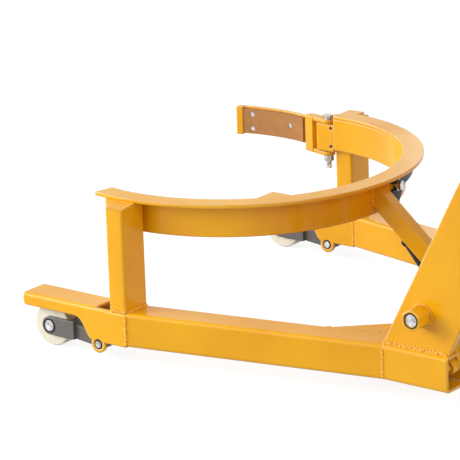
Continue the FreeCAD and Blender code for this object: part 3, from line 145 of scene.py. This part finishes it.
paper = bpy.data.materials.new("white_paper")
paper.use_nodes = True
sheet = paper.node_tree
sheet.nodes.remove(sheet.nodes["Principled BSDF"])
lit = step(sheet, "BsdfDiffuse", {"Color": (0.40, 0.40, 0.40, 1.0)}).outputs[0]
shade = step(sheet, "BsdfDiffuse", {"Color": (0.30, 0.30, 0.30, 1.0)}).outputs[0]
glow = step(sheet, "Emission", {"Color": (1.0, 1.0, 1.0, 1.0), "Strength": 0.84}).outputs[0]
faint = step(sheet, "AddShader", {0: shade, 1: glow}).outputs[0]
shown = step(sheet, "MixShader", {0: in_sight(sheet), 1: lit, 2: faint}).outputs[0]
sheet.links.new(shown, sheet.nodes["Material Output"].inputs["Surface"])
paper_mesh.materials.append(paper)


def new_finish(name):
    """A fresh finish: the material, its node tree and its shader."""
    finish = bpy.data.materials.new(name)
    finish.use_nodes = True
    return finish, finish.node_tree, finish.node_tree.nodes["Principled BSDF"]


def mottle(tree, place, scale, detail):
    """Uneven cloud, coarse at a low scale and fine as grit at a high one."""
    return step(tree, "TexNoise", {"Vector": place, "Scale": scale, "Detail": detail}).outputs[0]


def mixed(tree, amount, first, second):
    """A colour between two others."""
    return step(tree, "Mix", {0: amount, 6: first, 7: second}, data_type='RGBA').outputs[2]


def likeness(tree, first, second):
    """1 where two directions agree, 0 where they are square to each other."""
    dot = step(tree, "VectorMath", {0: first, 1: second}, operation='DOT_PRODUCT')
    return dot.outputs["Value"]


def softened(tree, radius, samples):
    """The direction of the surface with its sharp edges rounded."""
    return step(tree, "Bevel", {"Radius": radius}, samples=samples).outputs[0]


def cover(tree, shader, tone, dull, relief):
    """Gives the shader its colour, roughness and relief."""
    for socket, source in (("Base Color", tone), ("Roughness", dull), ("Normal", relief)):
        tree.links.new(source, shader.inputs[socket])


def sprayed_coat(name, light, deep, worn_and_lit_edge, rough, peel, shine, edge, gloss):
    """Sprayed paint on steel: uneven film, orange peel, and rounded edges painted paler, most where
    they face up and forward: painted highlight where the lamps catch the edges, and partly paint
    rubbed thin.
    The colours are the thin film, the thick film and the pale edge, which is part wear and part
    painted highlight. edge is in metres."""
    finish, tree, shader = new_finish(name)
    shader.inputs["Specular IOR Level"].default_value = shine
    shader.inputs["Coat Weight"].default_value = gloss
    shader.inputs["Coat Roughness"].default_value = 0.10
    place = step(tree, "TexCoord", {}).outputs["Object"]
    thick = ranged(tree, mottle(tree, place, scale=6.5, detail=4.0), 0.35, 0.65)
    grit = ranged(tree, mottle(tree, place, scale=210.0, detail=3.0), 0.58, 0.80, at_high=0.45)
    tone = mixed(tree, thick, light, deep)
    tone = mixed(tree, grit, tone, deep)

    rounded = softened(tree, edge, samples=6)
    flat = step(tree, "NewGeometry", {}).outputs["True Normal"]
    # Edges are painted paler: part wear, part painted highlight on the rounded edges.
    rubbed_and_lit = ranged(tree, likeness(tree, rounded, flat), 0.975, 0.80, at_high=1.5)
    patch = mottle(tree, place, scale=34.0, detail=2.0)
    rubbed_and_lit = step(tree, "Math", {0: rubbed_and_lit, 1: patch}, operation='MULTIPLY').outputs[0]
    # Painted highlight: the pale edge is strongest on edges that face up and forward, towards the
    # lamps.
    up_and_forward = (0.45, 0.0, 0.89)
    lit_from_above = ranged(tree, likeness(tree, rounded, up_and_forward), -0.2, 0.7, at_low=0.15)
    rubbed_and_lit = step(tree, "Math", {0: rubbed_and_lit, 1: lit_from_above}, operation='MULTIPLY').outputs[0]
    # The pale edge colour is mixed in here: painted highlight with some wear.
    tone = mixed(tree, rubbed_and_lit, tone, worn_and_lit_edge)

    dull = ranged(tree, thick, at_low=rough, at_high=rough + 0.12)
    skin = mottle(tree, place, scale=620.0, detail=1.0)
    bump = {"Height": skin, "Normal": rounded, "Strength": peel, "Distance": 0.0004}
    relief = step(tree, "Bump", bump).outputs[0]
    cover(tree, shader, tone, dull, relief)
    tree.links.new(relief, shader.inputs["Coat Normal"])
    return finish


def dress(finish, *names):
    """Gives CAD pieces their finish."""
    for name in names:
        nodes[name].material_slots[0].material = finish


yellow, deep_yellow = (0.88, 0.440, 0.0045, 1), (0.81, 0.365, 0.0032, 1)
# The yellow coat's third colour is its pale edge: mostly painted highlight, with some wear.
yellow_coat = sprayed_coat("yellow_coat", yellow, deep_yellow, (1.0, 0.80, 0.46, 1),
                           rough=0.30, peel=0.10, shine=0.16, edge=0.0042, gloss=0.36)
# The plate coat paints its edges near white: a painted highlight along cut and folded edges, with a
# little wear.
plate_coat = sprayed_coat("plate_coat", yellow, deep_yellow, (1.0, 0.94, 0.80, 1),
                          rough=0.30, peel=0.10, shine=0.16, edge=0.0042, gloss=0.40)
dress(plate_coat, "nose_left", "nose_right")


# The legs: 60 mm square tube, slanted in from the noses, with short straight tails behind.
# Each joint is butted and welded, and the bead shows under the paint.
def from_drum(x, y, z):
    """A place in millimetres from the drum's axis at floor level."""
    return Vector((drum_axis_x + x / 1000.0, y / 1000.0, z / 1000.0))


def run(hand, *points):
    """A line through places in millimetres: hand 1 on the left side, -1 mirrored to the right."""
    return [from_drum(x, hand * y, z) for x, y, z in points]


def keep_piece(name, shape, finish, body):
    """Makes a finished shape a piece that rides on a body."""
    mesh = bpy.data.meshes.new(name)
    shape.to_mesh(mesh)
    shape.free()
    mesh.materials.append(finish)
    piece = bpy.data.objects.new(name, mesh)
    scene.collection.objects.link(piece)
    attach(piece, body)
    return piece


# The weld coat's pale third colour on the drops is a painted highlight, with some wear.
weld_coat = sprayed_coat("weld_coat", (0.92, 0.475, 0.010, 1), (0.87, 0.410, 0.006, 1),
                         (0.96, 0.66, 0.18, 1),
                         rough=0.18, peel=0.06, shine=0.40, edge=0.0004, gloss=0.25)


def weld(name, runs, size, body="frame"):
    """A rippled weld: flat drops of metal, each over the edge of the last, along every run."""
    bead = bmesh.new()
    flat = Matrix.Diagonal((1.0, 1.0, 0.62, 1.0))
    pitch = 0.95 * size
    for line in runs:
        for start, end in zip(line, line[1:]):
            along = end - start
            lean = along.to_track_quat('Z', 'Y').to_matrix().to_4x4()
            drops = max(1, round(along.length / pitch))
            for count in range(drops):
                uneven = 0.16 * math.sin(2.6 * count) + 0.12 * math.sin(0.9 * count)
                sway = Vector((0, 0, 0.20 * size * math.sin(4.3 * count)))
                place = Matrix.Translation(start.lerp(end, count / drops) + sway)
                bmesh.ops.create_uvsphere(bead, u_segments=8, v_segments=5,
                                          radius=size * (1.0 + uneven),
                                          matrix=place @ lean @ flat)
    for face in bead.faces:
        face.smooth = True
    return keep_piece(name, bead, weld_coat, body)


both_sides = (("left", 1), ("right", -1))
dress(yellow_coat, "leg_tube_left", "leg_tube_right")
# The tails take the plate coat for its brighter painted highlight along their edges.
dress(plate_coat, "leg_tail_left", "leg_tail_right")
nose_back, nose_outer, nose_inner = -29, 362.6, 303.2
tail_front, tail_outer, tail_inner, tail_top = -485, 261.6, 202.4, 91.6
seam_low, nose_seam_high, tail_seam_high = 37, 90, 87
for side, hand in both_sides:
    weld("nose_seam_" + side, [
        run(hand, (nose_back, nose_outer, seam_low), (nose_back, nose_outer, nose_seam_high)),
        run(hand, (nose_back, nose_inner, seam_low), (nose_back, nose_inner, nose_seam_high)),
    ], size=0.0028)
    weld("tail_seam_" + side, [
        run(hand, (tail_front, tail_outer, seam_low), (tail_front, tail_outer, tail_seam_high)),
        run(hand, (tail_front, 257, tail_top), (tail_front, 207, tail_top)),
        run(hand, (tail_front, tail_inner, tail_seam_high), (tail_front, tail_inner, seam_low)),
    ], size=0.0028)


# The posts: box tube that stands on each leg and carries the ring, with a sloped cap outside it.
# The foot is welded to the leg, and the flange is welded over the head.
dress(yellow_coat, "post_left", "post_right")
post_foot, post_back, post_outer = 92.3, -29.2, 360.2
web_face_top, cap_back, cap_outer, cap_top = 276, -28.2, 358.8, 272.2
for side, hand in both_sides:
    weld("post_foot_weld_" + side, [
        run(hand, (post_back, 305, post_foot), (post_back, 357, post_foot)),
        run(hand, (-27, post_outer, post_foot), (5, post_outer, post_foot)),
    ], size=0.0028)
    weld("post_head_weld_" + side, [
        run(hand, (-27, 326.4, web_face_top), (-10, 327.2, web_face_top),
            (5, 327.4, web_face_top)),
        run(hand, (4, cap_outer, cap_top), (-27, cap_outer, cap_top)),
        run(hand, (cap_back, 358, 272.6), (cap_back, 330, 276.2)),
    ], size=0.0023)


# The cradle ring: a rolled web with a flat flange on top, a half circle that takes the drum.
# The flange is stitch welded underneath, and the hinge lug is welded to the web's right end.
dress(yellow_coat, "cradle_web", "cradle_flange", "hinge_lug")
web_outside, flange_under = 296.2, 275.8
stitches = []
for middle in (101, 115, 129, 143, 157, 170, 206, 219, 232, 245, 258):
    turns = [math.radians(middle + part) for part in (-3.4, -1.7, 0.0, 1.7, 3.4)]
    places = [(web_outside * math.cos(a), web_outside * math.sin(a), flange_under) for a in turns]
    stitches.append(run(1, *places))
weld("ring_stitch_weld", stitches, size=0.0024)
weld("lug_weld", [run(-1, (2.0, web_outside, 221), (2.0, web_outside, 262))], size=0.0022)


# The strut: box tube that braces the ring's back down to the cross plate, which ties the legs
# together with the cross beam under it. Strut and plate are welded along their edges, and so
# is the round boss that the link bar runs over.
dress(yellow_coat, "strut", "cross_plate", "cross_beam", "link_boss")
strut_head, strut_foot, cross_top = -295.6, 89.4, 89.2
brace = []
for hand in (1, -1):
    brace.append(run(hand, (strut_head, 10.4, 235), (strut_head, 10.4, 275)))
    brace.append(run(hand, (-459, 10.6, strut_foot), (-512, 10.6, strut_foot)))
brace.append(run(1, (-296.4, -9, 232), (-296.4, 9, 232)))
weld("strut_weld", brace, size=0.0028)
plate_edges = [run(hand, (-352, 231.6, cross_top), (-484, 202.4, cross_top),
                   (-558, 202.2, cross_top)) for hand in (1, -1)]
weld("cross_plate_weld", plate_edges, size=0.0027)
boss_turn, boss_height = math.radians(190), 256.5
boss_half, boss_drop, web_face = 30.5, 30.4, 296.0
boss_edge = []
for count in range(13):
    a = math.radians(180 + 15 * count)
    swing = boss_turn + math.asin(boss_half * math.cos(a) / web_face)
    boss_edge.append((web_face * math.cos(swing), web_face * math.sin(swing),
                      boss_height + boss_drop * math.sin(a)))
weld("link_boss_weld", [run(1, *boss_edge)], size=0.0019)


# The rear frame: two sloped 10 mm plates on the tails, tied by an apron and a head beam.
# Flame-cut plate, fillet welded, with a hexagon boss on each plate for the rocker shaft.
# The foot of each plate has a second, smaller pass of weld over the first.
dress(plate_coat, "side_plate_left", "side_plate_right", "apron")
dress(yellow_coat, "head_beam", "shaft_bosses")
shaft_x, shaft_z = -557, 153
boss_radius = 18.6
boss_turns = [math.radians(15 * count) for count in range(25)]
beam_front, beam_back, beam_under, beam_top = -703, -773, 452.4, 478
for side, hand in both_sides:
    weld("plate_foot_weld_" + side, [
        run(hand, (-482, 252.2, 92.0), (-606, 252.2, 92.0)),
    ], size=0.0044)
    weld("plate_cap_weld_" + side, [
        run(hand, (-484, 252.0, 95.8), (-604, 252.0, 95.8)),
        run(hand, (-482, 241.2, 92.2), (-605, 241.2, 92.2)),
    ], size=0.0027)
    weld("apron_weld_" + side, [
        run(hand, (-561.6, 241.4, 233), (-667.6, 241.4, 438)),
    ], size=0.0024)
    weld("head_weld_" + side, [
        run(hand, (beam_front, 241.6, beam_top), (beam_front, 241.6, beam_under),
            (beam_back, 241.6, beam_under), (beam_back, 241.6, beam_top)),
    ], size=0.0024)
    boss_foot = [(shaft_x + boss_radius * math.cos(a), 252.6, shaft_z + boss_radius * math.sin(a))
                 for a in boss_turns]
    weld("boss_weld_" + side, [run(hand, *boss_foot)], size=0.0023)


# The roller levers: cast steel forks, satin grey, that swing down on ear pins to lift the load.
# Pins and axles are bright zinc-plated bar, and a black ring clip holds each axle in its fork.
# The axle ends keep a fine raised ring from the lathe.
# The third colour of each coat is its pale edge: part wear, part painted highlight.
grey_coat = sprayed_coat("grey_coat", (0.165, 0.155, 0.142, 1), (0.115, 0.108, 0.100, 1),
                         (0.30, 0.29, 0.275, 1),
                         rough=0.38, peel=0.16, shine=0.30, edge=0.0042, gloss=0.0)
black_coat = sprayed_coat("black_coat", (0.014, 0.014, 0.015, 1), (0.008, 0.008, 0.009, 1),
                          (0.050, 0.050, 0.050, 1),
                          rough=0.40, peel=0.12, shine=0.22, edge=0.0015, gloss=0.0)


def plated_bar(name, light, dark, rough, scratch):
    """Plated or polished bar: light and dark patches, partly the plating's own cloud and partly
    painted reflection, with fine turning marks.
    """
    finish, tree, shader = new_finish(name)
    shader.inputs["Metallic"].default_value = 1.0
    place = step(tree, "TexCoord", {}).outputs["Object"]
    # Light and dark patches: part the metal's own cloud, part painted reflection.
    cloud = ranged(tree, mottle(tree, place, scale=150.0, detail=4.0), 0.36, 0.64)
    tone = mixed(tree, cloud, light, dark)
    dull = ranged(tree, cloud, at_low=rough, at_high=rough + 0.18)
    marks = mottle(tree, place, scale=1500.0, detail=2.0)
    bump = {"Height": marks, "Normal": softened(tree, 0.0007, samples=4),
            "Strength": scratch, "Distance": 0.0002}
    cover(tree, shader, tone, dull, step(tree, "Bump", bump).outputs[0])
    return finish


# The zinc's light and dark colours are spread wide apart, partly as painted reflection.
zinc_plate = plated_bar("zinc_plate", (0.78, 0.78, 0.77, 1), (0.34, 0.345, 0.36, 1),
                        rough=0.18, scratch=0.10)
dress(grey_coat, "roller_lever_left", "roller_lever_right")
dress(zinc_plate, "roller_axle_left", "roller_axle_right", "ear_pins")
dress(black_coat, "ear_bushes")


def close_up(shape):
    """Joins the seam of a spun shape, turns its faces outwards and smooths it."""
    bmesh.ops.remove_doubles(shape, verts=shape.verts[:], dist=0.00001)
    bmesh.ops.recalc_face_normals(shape, faces=shape.faces[:])
    for face in shape.faces:
        face.smooth = True


def ring_clip(name, middle, reach, wire, body, finish):
    """A spring wire ring round a pin that lies across the trolley."""
    ring = bmesh.new()
    lie = Matrix.Translation(middle + Vector((reach, 0, 0)))
    bmesh.ops.create_circle(ring, segments=10, radius=wire, matrix=lie)
    bmesh.ops.spin(ring, geom=ring.edges[:], cent=middle, axis=(0, 1, 0), angle=2 * math.pi,
                   steps=40, use_merge=True)
    close_up(ring)
    return keep_piece(name, ring, finish, body)


roller_x, roller_z = 147, 38
for side, hand in both_sides:
    fork = "roller_lever_" + side
    ring_clip("axle_clip_" + side, from_drum(roller_x, hand * 357.9, roller_z),
              reach=0.0116, wire=0.0011, body=fork, finish=black_coat)
    ring_clip("axle_turning_" + side, from_drum(roller_x, hand * 358.7, roller_z),
              reach=0.0048, wire=0.0005, body=fork, finish=zinc_plate)


# The load rollers: turned from cream cast nylon, one in each fork, running on the bright axle.
# The tread keeps the fine rings of the lathe and picks up a little grey from the floor.
def lathe_rings(tree, place, middle, scale, wobble):
    """Fine rings round an axle that lies across the trolley."""
    centred = step(tree, "Mapping", {"Vector": place, "Location": -middle}).outputs[0]
    wave = {"Vector": centred, "Scale": scale, "Distortion": wobble, "Detail": 1.0}
    return step(tree, "TexWave", wave, wave_type='RINGS', rings_direction='Y').outputs[1]


cream_nylon, tree, shader = new_finish("cream_nylon")
place = step(tree, "TexCoord", {}).outputs["Object"]
rings = lathe_rings(tree, place, from_drum(roller_x, 0, roller_z), scale=240.0, wobble=0.4)
cloud = mottle(tree, place, scale=60.0, detail=4.0)
soil = ranged(tree, cloud, 0.50, 0.80, at_high=0.55)
tone = mixed(tree, soil, (0.80, 0.755, 0.60, 1), (0.52, 0.48, 0.36, 1))
dull = ranged(tree, cloud, at_low=0.32, at_high=0.5)
bump = {"Height": rings, "Normal": softened(tree, 0.0012, samples=4),
        "Strength": 0.10, "Distance": 0.0002}
cover(tree, shader, tone, dull, step(tree, "Bump", bump).outputs[0])
dress(cream_nylon, "load_roller_left", "load_roller_right")


# The lift linkage: a rocker on a bright shaft between the plates, flat push rods to the forks,
# and swing arms to the pump carriage. Cut plate, painted with the frame, clipped at the shaft ends.
dress(yellow_coat, "push_rod_left", "push_rod_right", "rocker_arms", "swing_arms", "pump_carriage")
dress(zinc_plate, "rocker_shaft", "carriage_pins")
for side, hand in both_sides:
    ring_clip("shaft_clip_" + side, from_drum(shaft_x, hand * 285.2, shaft_z),
              reach=0.0124, wire=0.0011, body="rocker", finish=black_coat)


# The clamp arm: a curved strip on a forked yoke, hinged at the ring's right end on a plated bolt.
# A brown moulded friction lining is riveted to its inner face, where it bears on the drum.
friction_lining, tree, shader = new_finish("friction_lining")
place = step(tree, "TexCoord", {}).outputs["Object"]
cloud = mottle(tree, place, scale=38.0, detail=5.0)
tone = mixed(tree, cloud, (0.50, 0.235, 0.070, 1), (0.36, 0.150, 0.038, 1))
flecks = step(tree, "TexVoronoi", {"Vector": place, "Scale": 420.0}).outputs["Distance"]
chip = ranged(tree, flecks, 0.22, 0.10, at_high=0.6)
tone = mixed(tree, chip, tone, (0.62, 0.42, 0.20, 1))
fibre = mottle(tree, place, scale=700.0, detail=3.0)
dark = ranged(tree, fibre, 0.56, 0.70, at_high=0.6)
tone = mixed(tree, dark, tone, (0.15, 0.060, 0.018, 1))
dull = ranged(tree, cloud, at_low=0.72, at_high=0.9)
bump = {"Height": fibre, "Normal": softened(tree, 0.0012, samples=4),
        "Strength": 0.25, "Distance": 0.0005}
cover(tree, shader, tone, dull, step(tree, "Bump", bump).outputs[0])
dress(yellow_coat, "clamp_yoke", "clamp_arm")
dress(friction_lining, "clamp_pad")
dress(zinc_plate, "pad_rivets", "hinge_bolt")


# The lug screws: two small domed heads in the inner face of the hinge lug, one above the other.
# Blackened steel, each turned with a low crown and a narrow rim, and driven flush.
def turned(outline, foot, along, out, steps):
    """A shape off the lathe: an outline of (radius, height) in millimetres, spun round its axis."""
    shape = bmesh.new()
    row = [shape.verts.new(foot + out * (radius / 1000.0) + along * (height / 1000.0))
           for radius, height in outline]
    for near, far in zip(row, row[1:]):
        shape.edges.new((near, far))
    bmesh.ops.spin(shape, geom=shape.verts[:] + shape.edges[:], cent=foot, axis=along,
                   angle=2 * math.pi, steps=steps, use_merge=True)
    close_up(shape)
    return shape


forwards, leftwards, upwards = Vector((1, 0, 0)), Vector((0, 1, 0)), Vector((0, 0, 1))
crown = [(0.0, 0.3), (1.6, 0.15), (2.6, -0.25), (2.9, -0.6)]
for name, height in (("lug_screw_low", 224), ("lug_screw_high", 259)):
    head = turned(crown, from_drum(8, -290.3, height), leftwards, forwards, steps=20)
    keep_piece(name, head, black_coat, "frame")


# The clamp linkage: a curved black bar round the ring, a crank, a pull rod along the strut
# and a long hand lever. Flat bar and round rod, painted black, joined by plated shoulder bolts.
dress(black_coat, "link_bar", "clamp_crank", "pull_rod", "hand_lever")
dress(zinc_plate, "clamp_rod", "linkage_bolts")


# The lever grip: a black moulded rubber sleeve pushed over the end of the hand lever.
# It has finger ribs, a stop collar at the lower end and a closed rounded top.
def moulded_rubber(name, light, dark, rough):
    """Moulded rubber: nearly black, with a fine matt skin and faint dust."""
    finish, tree, shader = new_finish(name)
    place = step(tree, "TexCoord", {}).outputs["Object"]
    dust = mottle(tree, place, scale=55.0, detail=5.0)
    tone = mixed(tree, dust, light, dark)
    dull = ranged(tree, dust, at_low=rough, at_high=rough + 0.2)
    skin = mottle(tree, place, scale=900.0, detail=2.0)
    bump = {"Height": skin, "Strength": 0.15, "Distance": 0.0003}
    cover(tree, shader, tone, dull, step(tree, "Bump", bump).outputs[0])
    return finish


def leaning(degrees):
    """The directions along and square to a bar that leans back from upright."""
    lean = math.radians(degrees)
    return (Vector((-math.sin(lean), 0, math.cos(lean))),
            Vector((math.cos(lean), 0, math.sin(lean))))


grip_rubber = moulded_rubber("grip_rubber", (0.030, 0.030, 0.031, 1), (0.014, 0.014, 0.015, 1),
                             rough=0.55)
grip_along, grip_out = leaning(22)
grip_low, grip_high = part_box("lever_grip")
grip_middle = (Vector(grip_low) + Vector(grip_high)) / 2
grip_outline = [(5.2, -55), (13.4, -55), (14.0, -54), (14.0, -49), (12.2, -47.5)]
for rib in range(7):
    foot = -41 + 12 * rib
    grip_outline += [(12.0, foot), (13.2, foot + 3), (13.2, foot + 6), (12.0, foot + 9)]
grip_outline += [(12.4, 46), (11.6, 51), (8.5, 54), (4.0, 55), (0.0, 55)]
sleeve = turned(grip_outline, grip_middle, grip_along, grip_out, steps=36)
grip = keep_piece("ribbed_grip", sleeve, grip_rubber, "hand_lever")
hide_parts("lever_grip")


# The pump: a cast block with a cylinder and an oil tank, which steers on its neck.
# Painted with the frame, with a hard-chromed ram, a turned gland ring and a plated filler plug.
chrome_rod = plated_bar("chrome_rod", (0.78, 0.78, 0.79, 1), (0.66, 0.66, 0.67, 1),
                        rough=0.05, scratch=0.02)
dress(yellow_coat, "pump_body")
dress(chrome_rod, "lift_ram")
dress(zinc_plate, "steer_axle")
ram_low, ram_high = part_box("lift_ram")
pump_x = (ram_low[0] + ram_high[0]) / 2

gland_foot = Vector((pump_x, 0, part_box("pump_body")[1][2]))
gland_outline = [(18.7, 0.0), (18.7, 5.5), (19.6, 6.4), (25.0, 6.4), (26.4, 5.0), (26.4, 1.6),
                 (29.5, 1.0), (30.2, 0.0)]
gland = turned(gland_outline, gland_foot, upwards, forwards, steps=48)
narrow_face = 0.000008
for face in gland.faces:
    face.smooth = face.calc_area() < narrow_face
keep_piece("ram_gland", gland, zinc_plate, "pump")


def raise_faces(shape, faces, height):
    """Draws faces straight up and returns the corners that went with them."""
    drawn = bmesh.ops.extrude_face_region(shape, geom=faces)["geom"]
    corners = [part for part in drawn if isinstance(part, bmesh.types.BMVert)]
    bmesh.ops.translate(shape, verts=corners, vec=(0, 0, height))
    return corners


plug = bmesh.new()
plug_foot = Vector((pump_x + 0.044, 0, 0.330))
washer_radius, washer_height = 0.0105, 0.0018
hexagon_radius, hexagon_foot, hexagon_height, hexagon_edge = 0.0088, 0.0015, 0.0075, 0.0009
bmesh.ops.create_circle(plug, cap_ends=True, segments=32, radius=washer_radius,
                        matrix=Matrix.Translation(plug_foot))
raise_faces(plug, plug.faces[:], washer_height)
hexagon = bmesh.ops.create_circle(plug, cap_ends=True, segments=6, radius=hexagon_radius,
                                  matrix=Matrix.Translation(plug_foot + upwards * hexagon_foot))
nut = [face for face in plug.faces if all(v in hexagon["verts"] for v in face.verts)]
raised = raise_faces(plug, nut, hexagon_height)
nut_top = [e for e in plug.edges if all(v in raised for v in e.verts)]
bmesh.ops.bevel(plug, geom=nut_top, offset=hexagon_edge, segments=2, profile=0.5,
                affect='EDGES', material=-1)
bmesh.ops.recalc_face_normals(plug, faces=plug.faces[:])
keep_piece("filler_plug", plug, zinc_plate, "pump")


# The steer wheels: two grey cast hubs side by side under the pump, each with a bonded black tyre.
# The tyres are smooth, with a mould line of fine rings and scuffed, slightly dusty treads.
wheel_radius = 0.090
tyre_rubber, tree, shader = new_finish("tyre_rubber")
place = step(tree, "TexCoord", {}).outputs["Object"]
rings = lathe_rings(tree, place, Vector((pump_x, 0, wheel_radius)), scale=90.0, wobble=0.3)
scuff = ranged(tree, mottle(tree, place, scale=42.0, detail=6.0), 0.42, 0.72)
tone = mixed(tree, scuff, (0.018, 0.018, 0.019, 1), (0.050, 0.048, 0.046, 1))
dull = ranged(tree, scuff, at_low=0.5, at_high=0.8)
bump = {"Height": rings, "Normal": softened(tree, 0.002, samples=4),
        "Strength": 0.12, "Distance": 0.0004}
cover(tree, shader, tone, dull, step(tree, "Bump", bump).outputs[0])
# The hub coat's third colour is its pale edge: part wear, part painted highlight.
hub_coat = sprayed_coat("hub_coat", (0.34, 0.34, 0.335, 1), (0.27, 0.27, 0.265, 1),
                        (0.50, 0.50, 0.49, 1),
                        rough=0.40, peel=0.14, shine=0.40, edge=0.0042, gloss=0.0)
dress(hub_coat, "steer_wheel_left", "steer_wheel_right")
dress(tyre_rubber, "steer_tyre_left", "steer_tyre_right")


# The drawbar: a yellow tube in a welded socket that tips on a plated pin behind the pump.
# Its black closed handle carries the release lever that lowers the drum.
dress(yellow_coat, "drawbar_base", "drawbar_tube")
dress(black_coat, "handle_loop", "release_lever")
dress(zinc_plate, "drawbar_pin", "trigger_pin")
drawbar_along, drawbar_out = leaning(12)
socket_reach, bead_circle = 0.0905, 0.0206
socket_rim = from_drum(-815, 0, 262) + drawbar_along * socket_reach
hoop = [math.radians(20 * count) for count in range(19)]
socket_edge = [socket_rim + (drawbar_out * math.cos(a) + leftwards * math.sin(a)) * bead_circle
               for a in hoop]
weld("socket_weld", [socket_edge], size=0.0022, body="drawbar")
